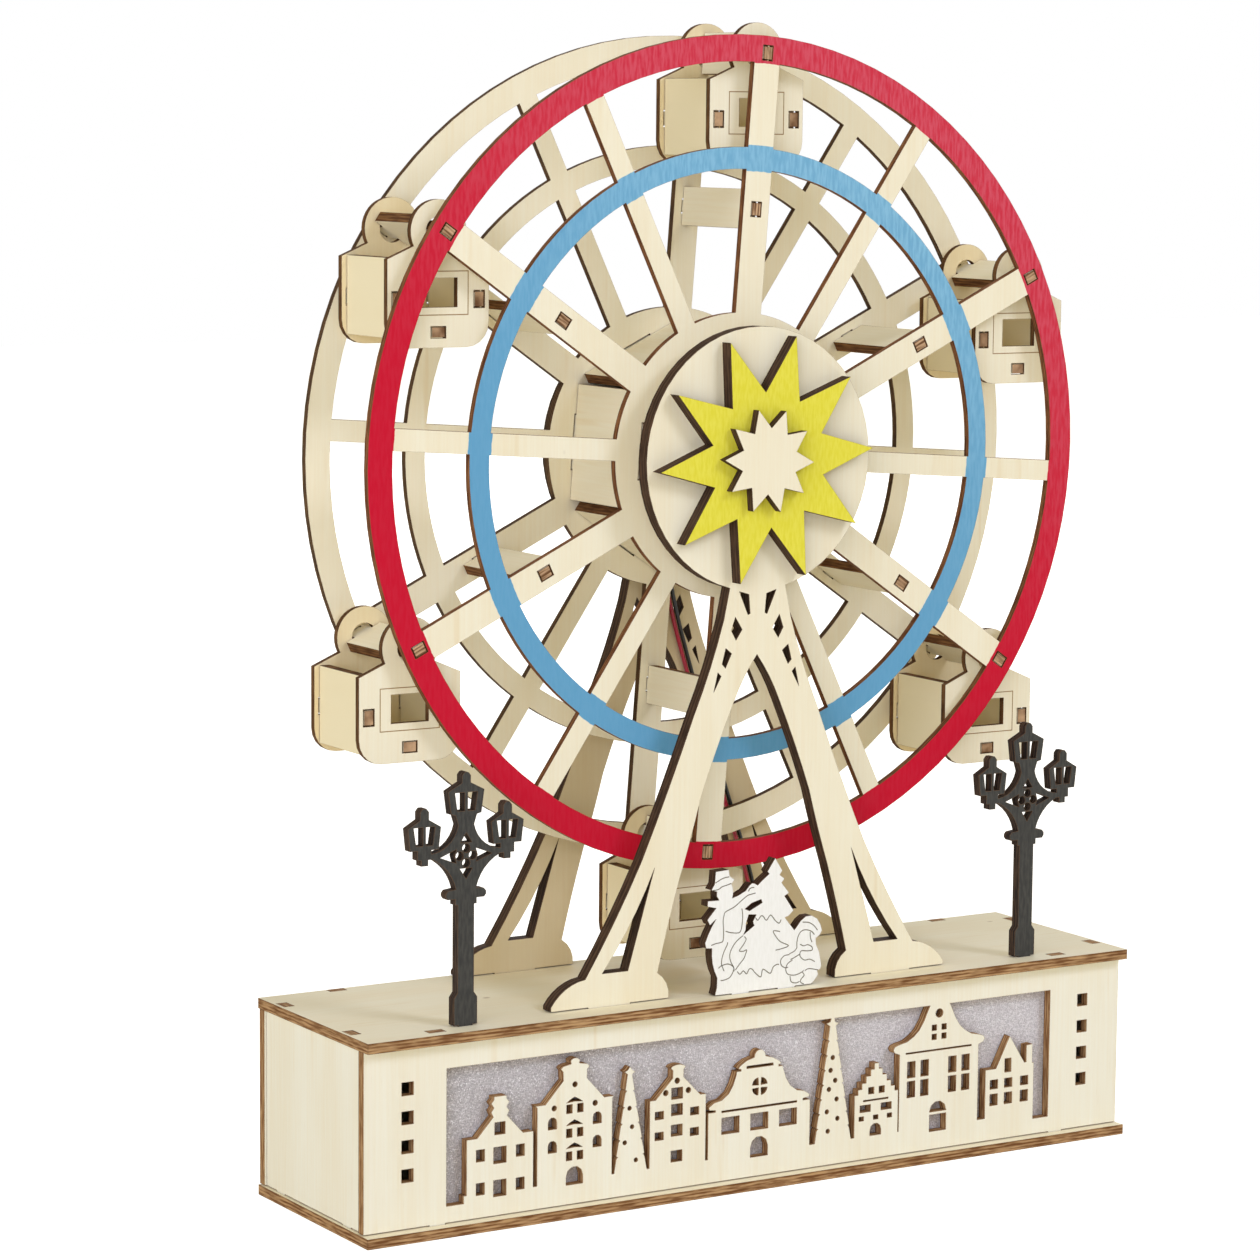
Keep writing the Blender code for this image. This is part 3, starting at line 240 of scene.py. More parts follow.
def plywood(name, normal, grain, cut, seed, start, thick,
            coat=None, bands=None, ends=None, top=None, tone=plain_tone):
    """Laser-cut birch ply: pale grained faces, a scorched line beside each cut, layered burnt edges.

    The sheet lies across normal, from start on, and is thick deep. coat paints its front, bands paint
    rings on it, ends colours the tenon ends across the depth, top is the height of a tub's upper cut
    edges, and tone multiplies the colours of the bare faces: it darkens and warms some sheets as painted
    shade, and pales and cools the base panels as painted light."""
    surface = Surface(name, gloss=0.12)
    across = Vector(normal).cross(Vector(grain)).normalized()
    along = surface.vector("DOT_PRODUCT", surface.place, tuple(grain))
    side = surface.vector("DOT_PRODUCT", surface.place, tuple(across))
    deep = surface.vector("DOT_PRODUCT", surface.place, tuple(normal))
    shift = seed * 37.7

    def wood(along_scale, side_scale, deep_scale=0.0, detail=2.0):
        """Clouds, in waves to the millimetre along the grain, across it and into the sheet."""
        return surface.noise(surface.combine(surface.maths("MULTIPLY_ADD", along, along_scale, shift),
                                             surface.maths("MULTIPLY", side, side_scale),
                                             surface.maths("MULTIPLY", deep, deep_scale)), detail)

    broad = wood(0.012, 0.07)
    streak = wood(0.035, 1.1, detail=3.0)
    fine = wood(0.12, 4.5)
    stain = wood(0.022, 0.24)
    pale = surface.maths("ADD", surface.maths("MULTIPLY", surface.between(broad, 0.3, 0.7), 0.55),
                         surface.maths("MULTIPLY", surface.between(streak, 0.25, 0.75), 0.45))
    # tone paints shade (darker, warmer) or light (paler, cooler) into the bare faces of the sheets that
    # pass one
    light, deeper, stained, flecked, knotted = (
        tuple(value * share for value, share in zip(colour, tone)) for colour in birch_colours)
    face = surface.mix(pale, deeper, light)
    stain_share = surface.maths("MULTIPLY", surface.between(stain, 0.62, 0.78), 0.3)
    face = surface.mix(stain_share, face, stained)
    fleck_share = surface.maths("MULTIPLY", surface.between(fine, 0.66, 0.78), 0.22)
    face = surface.mix(fleck_share, face, flecked)
    knot_place = surface.combine(surface.maths("MULTIPLY_ADD", along, 0.024, shift),
                                 surface.maths("MULTIPLY", side, 0.036), 0.0)
    from_knot = surface.cells(knot_place).outputs["Distance"]
    knot_share = surface.maths("MULTIPLY", surface.between(from_knot, 0.045, 0.02), 0.6)
    face = surface.mix(knot_share, face, knotted)
    front = surface.between(surface.vector("DOT_PRODUCT", surface.normal, (0, -1, 0)), 0.6, 0.8)
    if coat:
        brushing = surface.between(wood(0.3, 1.3, detail=3.0), 0.3, 0.7)
        face = surface.mix(front, face, surface.mix(brushing, *coat))
    if bands:
        from_hub = surface.vector("SUBTRACT", surface.place, tuple(hub / MM))
        radius = surface.vector("LENGTH", surface.vector("MULTIPLY", from_hub, (1, 0, 1)))
        unsteady = surface.maths("SUBTRACT", wood(0.5, 0.5), 0.5)
        radius = surface.maths("MULTIPLY_ADD", unsteady, 0.5, radius)
        # The bands' light colour shows more towards the top of the wheel, leaning a little to the right
        height = surface.vector("DOT_PRODUCT", from_hub, (0.45, 0, 1))
        lighter_upwards = surface.maths("MULTIPLY_ADD", surface.between(height, -40, 125), 0.75, 0.12)
        streaks = surface.between(wood(0.2, 1.1, detail=4.0), 0.35, 0.65)
        strokes = surface.maths("MULTIPLY_ADD", streaks, 0.6, 0.4)
        brushed = surface.maths("MULTIPLY", strokes, lighter_upwards)
        for inner, outer, deep_paint, light_paint in bands:
            ring = surface.maths("MULTIPLY",
                                 surface.between(radius, inner - paint_edge, inner + paint_edge),
                                 surface.between(radius, outer + paint_edge, outer - paint_edge))
            paint = surface.mix(brushed, deep_paint, light_paint)
            face = surface.mix(surface.maths("MULTIPLY", ring, front), face, paint)
    rim = surface.near_edge(scorch_width)
    face = surface.mix(surface.maths("MULTIPLY", rim, scorch_share), face, scorch)

    level = surface.maths("MULTIPLY_ADD", deep, 1 / thick, -start / thick)
    three_layers = surface.maths("SINE", surface.maths("MULTIPLY", level, 6 * math.pi))
    layer_line = surface.maths("MULTIPLY", three_layers, 0.09)
    smear = surface.maths("ADD", wood(0.16, 0.16, 1.6, 3.0), layer_line)
    burnt = surface.between(smear, 0.3, 0.75)
    edge = surface.mix(burnt, cut[0], cut[1])
    along_depth = surface.maths("ABSOLUTE", surface.vector("DOT_PRODUCT", surface.normal, (0, 1, 0)))
    is_end = surface.between(along_depth, 0.6, 0.8)
    if ends:
        edge = surface.mix(is_end, edge, surface.mix(burnt, ends[0], ends[1]))
    edge = surface.mix(surface.maths("MULTIPLY", rim, scorch_share), edge, cut_rim)

    if top is None:
        facing = surface.maths("ABSOLUTE", surface.vector("DOT_PRODUCT", surface.normal, tuple(normal)))
        is_edge = surface.between(facing, 0.8, 0.6)
    else:
        height = surface.vector("DOT_PRODUCT", surface.place, (0, 0, 1))
        is_edge = surface.maths("MAXIMUM", is_end, surface.between(height, top - 0.1, top - 0.05))
    surface.set("Base Color", surface.mix(is_edge, face, edge))
    dry = surface.maths("MULTIPLY_ADD", is_edge, 0.16, 0.54)
    surface.set("Roughness", surface.maths("MULTIPLY_ADD", streak, 0.14, dry))
    surface.bump(surface.maths("MULTIPLY_ADD", surface.maths("MULTIPLY", smear, is_edge), 3.0,
                               surface.maths("ADD", fine, streak)), grain_depth)
    return surface.material


def dress(name, material):
    """Gives a model node one material."""
    parts[name].data.materials.clear()
    parts[name].data.materials.append(material)


# Plywood sheets

wheel_turn = 25.7
pairs = 6


def outward(angle):
    """From the hub along a wheel radius, in the front view."""
    return Vector((math.cos(math.radians(angle)), 0, math.sin(math.radians(angle))))


# Each coat is a deep and a light colour; each band adds its inner and outer radius on the wheel
yellow_coat = (rgb(228, 219, 62), rgb(236, 228, 84))
white_coat = (rgb(247, 247, 242), rgb(253, 253, 249))
grey_coat = (rgb(60, 60, 58), rgb(76, 75, 71))
red_band = (113.0, 125.0, rgb(202, 0, 42), rgb(216, 88, 106))
blue_band = (82.1, 89.6, rgb(98, 162, 202), rgb(146, 200, 228))
# Painted shade: the rear frame's bare faces are darkened and warmed, as it stands in shade behind the
# wheel
rear_frame_painted_shade = (0.8, 0.73, 0.62, 1.0)
# Painted light: the base panels' bare faces are made paler and cooler, standing in for the light falling
# on them
base_panel_painted_light = (1.0, 1.035, 1.12, 1.0)
# Painted shade: the gondolas' rear plates, seen inside the gondolas, are darkened and warmed
rear_plate_painted_shade = (0.95, 0.87, 0.72, 1.0)
# Painted shade: the tubs are warmed and darkened a little, for the warm shade on their sides and insides
tub_painted_shade = (1.0, 0.965, 0.86, 1.0)

# For each node: across the sheet, along its grain, the colours of its cut edges, and what is special
sheets = {"base_top_plate": (ALONG_Z, ALONG_X, base_cut, {}),
          "base_bottom_plate": (ALONG_Z, ALONG_X, base_cut, {}),
          "battery_hatch": (ALONG_Z, ALONG_X, base_cut, {}),
          # The base panels get painted light
          "base_front_panel": (ALONG_Y, ALONG_Z, base_cut, {"tone": base_panel_painted_light}),
          "base_back_panel": (ALONG_Y, ALONG_Z, base_cut, {"tone": base_panel_painted_light}),
          "base_left_panel": (ALONG_X, ALONG_Z, base_cut, {"tone": base_panel_painted_light}),
          "base_right_panel": (ALONG_X, ALONG_Z, base_cut, {"tone": base_panel_painted_light}),
          "front_frame": (ALONG_Y, ALONG_Z, frame_cut, {}),
          # The rear frame gets painted shade
          "rear_frame": (ALONG_Y, ALONG_Z, frame_cut, {"tone": rear_frame_painted_shade}),
          "yellow_star": (ALONG_Y, ALONG_Z, frame_cut, {"coat": yellow_coat}),
          "small_star": (ALONG_Y, ALONG_Z, frame_cut, {}),
          "figure_group": (ALONG_Y, ALONG_Z, frame_cut, {"coat": white_coat}),
          "left_lamp": (ALONG_Y, ALONG_Z, lamp_cut, {"coat": grey_coat}),
          "right_lamp": (ALONG_Y, ALONG_Z, lamp_cut, {"coat": grey_coat}),
          "front_wheel": (ALONG_Y, ALONG_Z, wheel_cut, {"bands": (red_band, blue_band)}),
          "rear_wheel": (ALONG_Y, ALONG_Z, rear_cut, {})}
for number in range(pairs):
    label = str(number + 1)
    wide = outward(wheel_turn + 360 / pairs * number)
    plain = outward(wheel_turn + 360 / pairs * (number + 0.5))
    sheets["cross_plate_" + label] = (wide.cross(ALONG_Y), ALONG_Y, bar_cut, {"ends": tenon_cut})
    sheets["axle_bar_" + label] = (wide.cross(ALONG_Y), ALONG_Y, bar_cut, {"ends": tenon_cut})
    sheets["drum_panel_" + label] = (plain, ALONG_Y, bar_cut, {"ends": tenon_cut})
    sheets["gondola_" + label + "_front"] = (ALONG_Y, ALONG_Z, thin_cut, {})
    # The rear plates get painted shade
    sheets["gondola_" + label + "_rear"] = (ALONG_Y, ALONG_Z, thin_cut, {"tone": rear_plate_painted_shade})
    tub = "gondola_" + label + "_tub"
    # The tubs get painted shade
    sheets[tub] = (ALONG_Y, ALONG_Z, thin_cut,
                   {"ends": tenon_cut, "top": span(tub, ALONG_Z)[1], "tone": tub_painted_shade})
for seed, (name, (normal, grain, cut, extra)) in enumerate(sheets.items()):
    low, high = span(name, normal)
    dress(name, plywood("wood." + name, normal, grain, cut, seed, low, high - low, **extra))


# Other materials

def plastic(name, colour, roughness=0.45):
    """Moulded plastic with a fine matte skin."""
    surface = Surface(name, roughness=roughness)
    clouds = surface.noise(surface.vector("SCALE", surface.place, scale=0.12))
    deeper = tuple(0.78 * value for value in colour[:3]) + (1.0,)
    surface.set("Base Color", surface.mix(clouds, deeper, colour))
    surface.bump(surface.noise(surface.vector("SCALE", surface.place, scale=6.0), detail=1.0), 0.01)
    return surface.material


def metal(name, colour, roughness, stretch):
    """Metal with fine marks, as many to the millimetre along each axis as stretch says."""
    surface = Surface(name, metallic=1.0)
    marks = surface.noise(surface.vector("MULTIPLY", surface.place, stretch), detail=3.0)
    duller = tuple(0.7 * value for value in colour[:3]) + (1.0,)
    surface.set("Base Color", surface.mix(surface.between(marks, 0.3, 0.8), duller, colour))
    surface.set("Roughness", surface.maths("MULTIPLY_ADD", marks, 0.25, roughness))
    surface.bump(marks, 0.006)
    return surface.material


def insulation(name, colour):
    """Soft wire cover with a slight gloss and handling marks."""
    surface = Surface(name, roughness=0.32)
    marks = surface.noise(surface.vector("SCALE", surface.place, scale=0.6))
    duller = tuple(0.75 * value for value in colour[:3]) + (1.0,)
    surface.set("Base Color", surface.mix(marks, duller, colour))
    surface.bump(marks, 0.02)
    return surface.material


cloth_half = 110


def glitter_cloth():
    """Grey lilac weave whose threads carry fine glitter, painted lighter towards the right as painted
    light.
    """
    surface = Surface("glitter_cloth", roughness=0.5)
    flecks = surface.cells(surface.vector("SCALE", surface.place, scale=3.2))
    share = surface.vector("DOT_PRODUCT", flecks.outputs["Color"], (1, 0, 0))
    threads = surface.vector("DOT_PRODUCT", surface.place, (5.4, 0, 3.1))
    crossing = surface.vector("DOT_PRODUCT", surface.place, (-3.1, 0, 5.4))
    weave = surface.maths("MULTIPLY", surface.maths("SINE", threads), surface.maths("SINE", crossing))
    shade = surface.maths("MULTIPLY_ADD", weave, 0.16, share)
    # Painted light: the weave's colours grow lighter from left to right across the window
    painted_light_rightward = surface.between(surface.vector("DOT_PRODUCT", surface.place, (1, 0, 0)),
                                -cloth_half, cloth_half)
    dark = surface.mix(painted_light_rightward, rgb(174, 170, 173), rgb(194, 190, 194))
    pale = surface.mix(painted_light_rightward, rgb(212, 208, 211), rgb(230, 226, 230))
    tone = surface.mix(surface.between(shade, 0.0, 0.9), dark, pale)
    bright = surface.between(share, 0.88, 0.96)
    surface.set("Base Color", surface.mix(bright, tone, rgb(240, 238, 241)))
    surface.set("Metallic", surface.maths("MULTIPLY", bright, 0.3))
    surface.bump(surface.maths("ADD", weave, surface.maths("MULTIPLY", share, 2.0)), 0.05)
    return surface.material


def circuit_board(front):
    """Green coated board with paler tracks under the coat, and white housings before its front."""
    surface = Surface("board_green", roughness=0.3)
    track = surface.vector("DOT_PRODUCT", surface.place, (0, 0, 1.6))
    lane = surface.between(surface.maths("SINE", track), 0.2, 0.45)
    coat = surface.mix(lane, rgb(22, 74, 38), rgb(38, 108, 58))
    depth = surface.vector("DOT_PRODUCT", surface.place, (0, 1, 0))
    housing = surface.between(depth, front, front - 0.05)
    surface.set("Base Color", surface.mix(housing, coat, rgb(236, 236, 232)))
    surface.bump(lane, 0.03)
    return surface.material


board_low, board_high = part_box("light_board")
housing_depth = 1.2
board_face = board_low.y / MM + housing_depth
black_plastic = plastic("black_moulding", rgb(40, 40, 42))
steel = metal("turned_steel", rgb(190, 190, 192), 0.22, (0.4, 6.0, 0.4))
motor_metal = metal("motor_zinc", rgb(176, 178, 182), 0.3, (0.5, 0.12, 0.5))
for name, material in (("battery_box", black_plastic), ("switch_slider", black_plastic),
                       ("drive_shaft", steel), ("motor", motor_metal),
                       ("light_board", circuit_board(board_face - 0.1)),
                       ("wire_red", insulation("red_cover", rgb(186, 34, 66))),
                       ("wire_black", insulation("black_cover", rgb(28, 28, 30)))):
    dress(name, material)


# Cloth behind the window, glued to the back of the front panel

def new_piece(name, build, material, body, smooth=False):
    """Turns a bmesh in metres into a piece that rides on a body, or on none where body is None."""
    bmesh.ops.recalc_face_normals(build, faces=build.faces)
    mesh = bpy.data.meshes.new(name)
    build.to_mesh(mesh)
    build.free()
    for polygon in mesh.polygons:
        polygon.use_smooth = smooth
    mesh.materials.append(material)
    piece = bpy.data.objects.new(name, mesh)
    bpy.context.scene.collection.objects.link(piece)
    if body:
        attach(piece, body)
    return piece


cloth_low, cloth_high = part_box("window_cloth")
cloth_across = 112
cloth_up = 26
cloth_thick = 0.35 * MM
cloth_gap = 0.12 * MM
ripple = 0.09 * MM
build = bmesh.new()
rows = []
for column in range(cloth_across + 1):
    x = cloth_low.x + (cloth_high.x - cloth_low.x) * column / cloth_across
    row = []
    for step in range(cloth_up + 1):
        z = cloth_low.z + (cloth_high.z - cloth_low.z) * step / cloth_up
        wave = math.sin(x * 410 + 2.1 * math.sin(z * 90)) + 0.6 * math.sin(z * 260 + x * 75)
        y = cloth_low.y + cloth_thick / 2 + cloth_gap + ripple * wave / 1.6
        row.append(build.verts.new((x, y, z)))
    rows.append(row)
for first, last in zip(rows, rows[1:]):
    for step in range(cloth_up):
        build.faces.new((first[step], last[step], last[step + 1], first[step + 1]))
window_fabric = new_piece("window_fabric", build, glitter_cloth(), "stand", smooth=True)
skin = window_fabric.modifiers.new("thickness", "SOLIDIFY")
skin.thickness = cloth_thick
skin.offset = 0
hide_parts("window_cloth")


# Engraved lines, each a thin dark strip let into the wood

def smooth_line(points, steps=4):
    """A curve through the points."""
    padded = [points[0]] + list(points) + [points[-1]]
    curve = []
    for before, start, end, after in zip(padded, padded[1:], padded[2:], padded[3:]):
        for step in range(steps):
            t = step / steps
            curve.append(tuple(0.5 * (2 * b + (c - a) * t + (2 * a - 5 * b + 4 * c - d) * t * t
                                      + (3 * b - a - 3 * c + d) * t ** 3)
                               for a, b, c, d in zip(before, start, end, after)))
    return curve + [points[-1]]


strip_out = 0.02
strip_in = -0.08


def engrave(build, line, half_width, place, closed=False):
    """Adds a strip along a line of (u, v) millimetres.

    place(u, v, depth) gives metres, with depth from the face outwards."""
    count = len(line)
    rings = []
    for index, point in enumerate(line):
        before = line[(index - 1) % count] if closed or index else point
        after = line[(index + 1) % count] if closed or index < count - 1 else point
        lead_in = Vector(point) - Vector(before)
        lead_out = Vector(after) - Vector(point)
        lead_in = lead_in.normalized() if lead_in.length > 1e-9 else lead_out.normalized()
        lead_out = lead_out.normalized() if lead_out.length > 1e-9 else lead_in
        way = (lead_in + lead_out).normalized() if (lead_in + lead_out).length > 1e-6 else lead_in
        side = Vector((-way.y, way.x))
        reach = half_width / max(0.5, side.dot(Vector((-lead_in.y, lead_in.x))))
        one, other = Vector(point) + side * reach, Vector(point) - side * reach
        rings.append([build.verts.new(place(*one, strip_out)), build.verts.new(place(*other, strip_out)),
                      build.verts.new(place(*other, strip_in)), build.verts.new(place(*one, strip_in))])
    pairs_of_rings = list(zip(rings, rings[1:])) + ([(rings[-1], rings[0])] if closed else [])
    for first, last in pairs_of_rings:
        for corner in range(4):
            following = (corner + 1) % 4
            build.faces.new((first[corner], first[following], last[following], last[corner]))
    if not closed:
        build.faces.new(rings[0])
        build.faces.new(rings[-1])


def burnt_line(name, light, dark):
    """Charred bottom of an engraved line, uneven in tone."""
    surface = Surface(name, roughness=0.8, gloss=0.1)
    patches = surface.noise(surface.vector("SCALE", surface.place, scale=0.8))
    surface.set("Base Color", surface.mix(patches, dark, light))
    return surface.material


# Lines on the figure sheet as (across, above the base's top plate); faces stay plain
figure_lines = {
    "hat_band": [(-16.0, 33.4), (-14.1, 34.3), (-12.7, 34.7), (-11.3, 34.8)],
    "hat_brim": [(-17.1, 31.3), (-15.1, 31.4), (-13.7, 32.1), (-12.2, 32.4), (-10.6, 32.8)],
    "sleeve": [(-12.9, 23.7), (-12.4, 24.6), (-9.4, 25.8), (-7.0, 27.4), (-4.9, 28.7), (-3.5, 29.0),
               (-2.1, 29.2)],
    "hand": [(-4.6, 29.9), (-4.2, 30.6), (-3.5, 30.9), (-2.6, 30.9)],
    "coat_front": [(-12.9, 23.7), (-13.2, 21.9), (-13.0, 18.9), (-13.1, 16.5), (-13.7, 15.8),
                   (-15.6, 15.6), (-17.2, 15.2)],
    "jacket": [(-12.3, 18.9), (-10.4, 18.3), (-8.1, 18.0), (-7.2, 18.4), (-6.7, 20.1), (-6.5, 23.1),
               (-6.8, 25.1)],
    "trouser": [(-11.6, 15.6), (-11.7, 14.9), (-12.8, 12.9), (-13.4, 11.2), (-13.6, 9.4),
                (-13.1, 8.1), (-12.7, 7.2)],
    "coat_tail": [(-6.2, 17.0), (-7.2, 16.5), (-8.9, 15.2), (-10.3, 13.3), (-10.8, 11.5),
                  (-10.4, 9.7), (-9.4, 8.0), (-9.2, 6.8)],
    "tree_left": [(-5.8, 16.7), (-5.2, 15.8), (-6.3, 14.1), (-7.5, 12.7), (-6.1, 12.4),
                  (-5.0, 12.7), (-5.3, 11.5), (-6.0, 10.1), (-7.4, 8.7), (-8.8, 7.1)],
    "boot": [(-14.6, 8.2), (-13.8, 8.8), (-11.7, 9.2), (-10.2, 8.7), (-9.3, 7.7), (-9.9, 6.1),
             (-10.9, 5.0), (-13.0, 4.5), (-13.8, 4.6)],
    "tree_middle": [(-2.0, 21.9), (-1.2, 21.1), (-0.2, 22.2), (0.6, 22.1), (1.8, 20.8), (3.2, 22.2),
                    (4.8, 20.5), (6.2, 19.5), (6.9, 20.5)],
    "tree_right": [(6.6, 17.0), (4.3, 17.4), (4.9, 16.0), (6.7, 14.0), (9.6, 12.5), (7.1, 11.8),
                   (5.1, 11.6)],
    "tree_foot": [(-8.1, 6.6), (-7.2, 5.7), (-6.0, 6.6), (-4.9, 5.6), (-4.0, 6.9), (-3.0, 6.8),
                  (-1.7, 5.4), (0.1, 4.2), (0.8, 6.4), (3.3, 4.9), (4.3, 6.6), (5.6, 7.3),
                  (6.4, 7.2)],
    "cap": [(14.5, 19.0), (16.6, 18.7), (18.4, 17.7), (19.8, 16.1)],
    "hood": [(12.6, 11.6), (12.6, 13.4), (13.1, 15.2), (14.2, 16.4), (15.8, 16.6), (17.6, 16.0),
             (18.7, 14.9)],
    "hair": [(17.2, 15.9), (17.3, 14.2), (17.9, 12.7)],
    "scarf": [(13.7, 12.5), (15.0, 11.9), (16.4, 12.1), (17.9, 11.3), (17.9, 10.3), (16.1, 10.3),
              (14.3, 10.5), (13.7, 9.9), (13.9, 8.7), (15.4, 7.6), (17.2, 7.7), (19.0, 6.8)],
    "arm_top": [(12.6, 11.6), (11.8, 10.7), (10.0, 10.0)],
    "arm_low": [(13.8, 9.6), (11.4, 8.6), (10.4, 8.3)],
    "mitten": [(10.0, 9.8), (8.2, 9.6), (7.0, 8.5), (7.2, 6.9), (8.6, 6.0), (9.6, 6.1)],
    "knee": [(11.1, 8.1), (9.3, 7.0), (8.8, 5.3), (9.7, 3.9), (12.2, 3.5), (14.4, 4.1),
             (15.1, 4.6)],
    "foot": [(10.3, 3.4), (10.7, 1.7), (12.3, 1.1), (13.7, 1.4)],
    "heel": [(14.7, 4.0), (15.3, 3.1), (14.2, 2.0), (14.1, 1.1), (15.2, 0.5)],
    "hem": [(15.5, 4.4), (16.9, 4.9), (20.2, 4.2)],
}
figure_line_half = 0.15
figure_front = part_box("figure_group")[0].y
plate_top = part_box("base_top_plate")[1].z


def on_figure(u, v, depth):
    return (u * MM, figure_front - depth * MM, v * MM + plate_top)


build = bmesh.new()
for line in figure_lines.values():
    engrave(build, smooth_line(line), figure_line_half, on_figure)
figure_burn = burnt_line("figure_burn", rgb(138, 133, 118), rgb(104, 99, 86))
new_piece("figure_lines", build, figure_burn, "stand")

# A frame line round each gondola window, from the gondola's axle
window_frame = [(-9.4, -23.2), (9.4, -23.2), (9.4, -11.1), (-9.4, -11.1)]
gondola_line_half = 0.14
gondola_burn = burnt_line("gondola_burn", rgb(178, 148, 100), rgb(140, 108, 66))
for number in range(pairs):
    name = "gondola_" + str(number + 1)
    axle = Vector(joints[name + "_swing"]["pos_m"])
    for side, node in ((-1, "_front"), (1, "_rear")):
        low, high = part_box(name + node)
        face = low.y if side < 0 else high.y

        def on_plate(u, v, depth):
            return (axle.x + u * MM, face + side * depth * MM, axle.z + v * MM)

        build = bmesh.new()
        engrave(build, window_frame, gondola_line_half, on_plate, closed=True)
        new_piece(name + node + "_lines", build, gondola_burn, name)


# Details inside the base: lights on the board, contacts in the battery box, tape that hinges its hatch

def dome(build, centre, radius, rise, rings=3, sides=20):
    """Adds a low dome that faces the front, closed behind."""
    loops = []
    steps = [2 * math.pi * side / sides for side in range(sides)]
    for ring in range(rings):
        turn = math.pi / 2 * ring / rings
        reach, out = radius * math.cos(turn), rise * math.sin(turn)
        loops.append([build.verts.new((centre[0] + reach * math.cos(step), centre[1] - out,
                                       centre[2] + reach * math.sin(step))) for step in steps])
    top = build.verts.new((centre[0], centre[1] - rise, centre[2]))
    for lower, upper in zip(loops, loops[1:]):
        for side in range(sides):
            following = (side + 1) % sides
            build.faces.new((lower[side], lower[following], upper[following], upper[side]))
    for side in range(sides):
        build.faces.new((loops[-1][side], loops[-1][(side + 1) % sides], top))
    build.faces.new(loops[0])


light_places = (-50, -25, 0, 25, 50)
light_down = 7.5 * MM
light_radius = 1.9 * MM
light_rise = 0.35 * MM
build = bmesh.new()
for x in light_places:
    dome(build, (x * MM, board_low.y, board_high.z - light_down), light_radius, light_rise)
phosphor = plastic("phosphor_yellow", rgb(240, 216, 96), 0.25)
new_piece("light_domes", build, phosphor, "stand", smooth=True)

hatch_low, hatch_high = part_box("battery_hatch")
bay_rim = 1.5 * MM
bay_ends = (hatch_low.x + bay_rim, hatch_high.x - bay_rim)
bay_middle = (hatch_low.y + hatch_high.y) / 2
contact_half = 4.5
contact_spacing = 9 * MM
contact_thick = 0.3 * MM
# The bent leaf as (out from the bay's end, height)
contact_profile = ((0.3, 18.0), (0.3, 6.4), (3.4, 9.6), (1.4, 13.2))
build = bmesh.new()
for end, inward in zip(bay_ends, (1, -1)):
    for middle in (bay_middle - contact_spacing, bay_middle + contact_spacing):
        edges = [[build.verts.new((end + inward * out * MM, middle + half * MM, height * MM))
                  for half in (-contact_half, contact_half)] for out, height in contact_profile]
        for first, last in zip(edges, edges[1:]):
            build.faces.new((first[0], first[1], last[1], last[0]))
spring_metal = metal("spring_plate", rgb(206, 204, 198), 0.25, (0.5, 3.0, 0.5))
contacts = new_piece("battery_contacts", build, spring_metal, "stand")
leaf = contacts.modifiers.new("thickness", "SOLIDIFY")
leaf.thickness = contact_thick
leaf.offset = 0

hinge = Vector(joints["hatch_swing"]["pos_m"])
tape_reach = 7.0
tape_half = 16.0
tape_steps = 28
tape_level = -0.1
tape_thick = 0.12 * MM
build = bmesh.new()
edges = []
for step in range(tape_steps + 1):
    x = hinge.x + tape_reach * (2 * step / tape_steps - 1) * MM
    edges.append([build.verts.new((x, bay_middle + half * MM, tape_level * MM))
                  for half in (-tape_half, tape_half)])
for first, last in zip(edges, edges[1:]):
    build.faces.new((first[0], first[1], last[1], last[0]))
tape_cloth = plastic("tape_cloth", rgb(196, 184, 158), 0.8)
tape = new_piece("hatch_tape", build, tape_cloth, None, smooth=True)
backing = tape.modifiers.new("thickness", "SOLIDIFY")
backing.thickness = tape_thick
backing.offset = 0
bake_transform(tape)


# Stage: a pale floor and soft lamps

bpy.context.scene.view_settings.view_transform = "Standard"
lamp_colour = (0.95, 1.015, 1.27)
sky_colour = (1.0, 0.895, 0.58, 1.0)
sky_strength = 0.43
floor_half = 4.0
floor_level = -0.2 * MM
floor_glow = 0.85


def area_lamp(name, place, target, size, power):
    """A round soft lamp at a place in metres that points at the target."""
    lamp = bpy.data.objects.new(name, bpy.data.lights.new(name, "AREA"))
    lamp.data.shape = "DISK"
    lamp.data.size = size
    lamp.data.energy = power
    lamp.data.color = lamp_colour
    lamp.location = place
    lamp.rotation_mode = "QUATERNION"
    lamp.rotation_quaternion = (Vector(target) - Vector(place)).to_track_quat("-Z", "Y")
    bpy.context.scene.collection.objects.link(lamp)


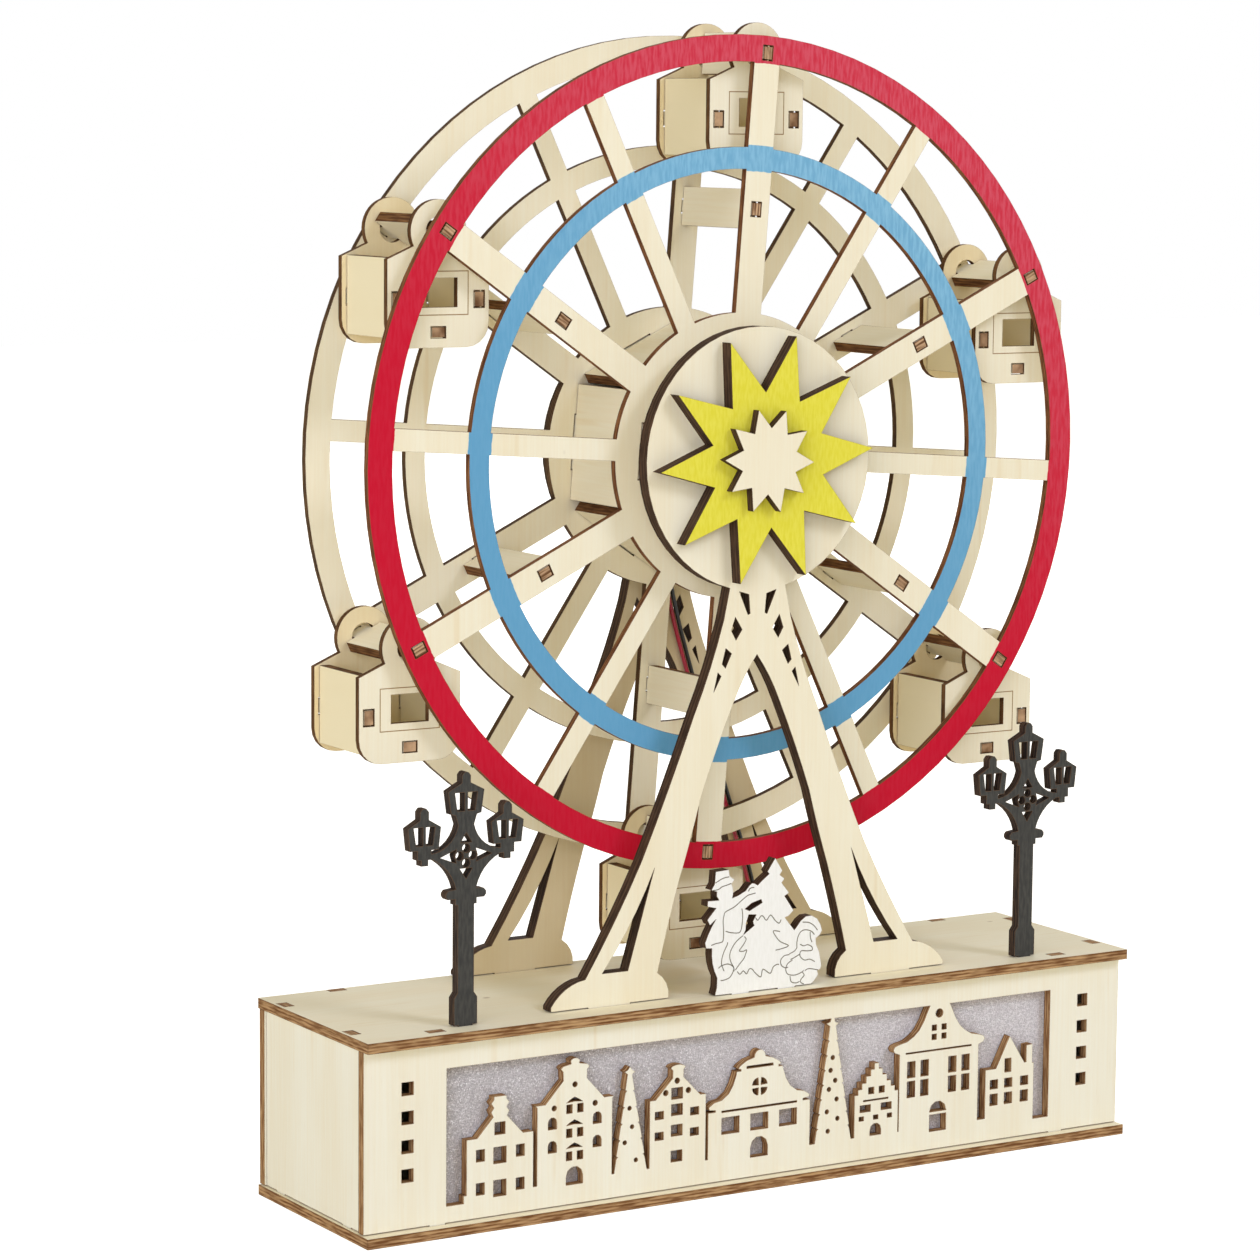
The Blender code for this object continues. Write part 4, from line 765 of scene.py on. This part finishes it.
def shown_white(tree):
    """1 where the camera, a reflection or glass sees the surface, 0 where it only lights others."""
    path = tree.nodes.new("ShaderNodeLightPath")
    seen = path.outputs["Is Camera Ray"]
    for ray in ("Is Glossy Ray", "Is Transmission Ray"):
        either = tree.nodes.new("ShaderNodeMath")
        either.operation = "MAXIMUM"
        tree.links.new(seen, either.inputs[0])
        tree.links.new(path.outputs[ray], either.inputs[1])
        seen = either.outputs[0]
    return seen


world = bpy.data.worlds.new("studio")
bpy.context.scene.world = world
world.use_nodes = True
sky = world.node_tree
sky_light = sky.nodes["Background"]
sky_light.inputs["Color"].default_value = sky_colour
sky_light.inputs["Strength"].default_value = sky_strength
sky_shown = sky.nodes.new("ShaderNodeBackground")
sky_shown.inputs["Color"].default_value = (1, 1, 1, 1)
sky_shown.inputs["Strength"].default_value = 1.0
sky_choice = sky.nodes.new("ShaderNodeMixShader")
sky.links.new(shown_white(sky), sky_choice.inputs[0])
sky.links.new(sky_light.outputs[0], sky_choice.inputs[1])
sky.links.new(sky_shown.outputs[0], sky_choice.inputs[2])
sky.links.new(sky_choice.outputs[0], sky.nodes["World Output"].inputs["Surface"])

floor_mesh = bpy.data.meshes.new("floor")
floor_corners = [(u * floor_half, v * floor_half, floor_level)
                 for u, v in ((-1, -1), (1, -1), (1, 1), (-1, 1))]
floor_mesh.from_pydata(floor_corners, [], [(0, 1, 2, 3)])
floor = bpy.data.objects.new("floor", floor_mesh)
bpy.context.scene.collection.objects.link(floor)
floor_look = Surface("floor", roughness=0.9, gloss=0.1)
floor_look.set("Base Color", (0.93, 0.88, 0.76, 1))
floor_look.set("Emission Color", (0.9, 0.94, 1, 1))
floor_look.set("Emission Strength",
               floor_look.maths("MULTIPLY", shown_white(floor_look.tree), floor_glow))
floor_mesh.materials.append(floor_look.material)

area_lamp("key", (0.9, -1.6, 1.5), (0, 0, 0.15), 0.8, 13)
area_lamp("fill", (-1.9, -1.35, 0.6), (0, 0, 0.15), 2.4, 35)
area_lamp("back_light", (1.3, 2.0, 0.7), (0, 0, 0.17), 2.4, 12)
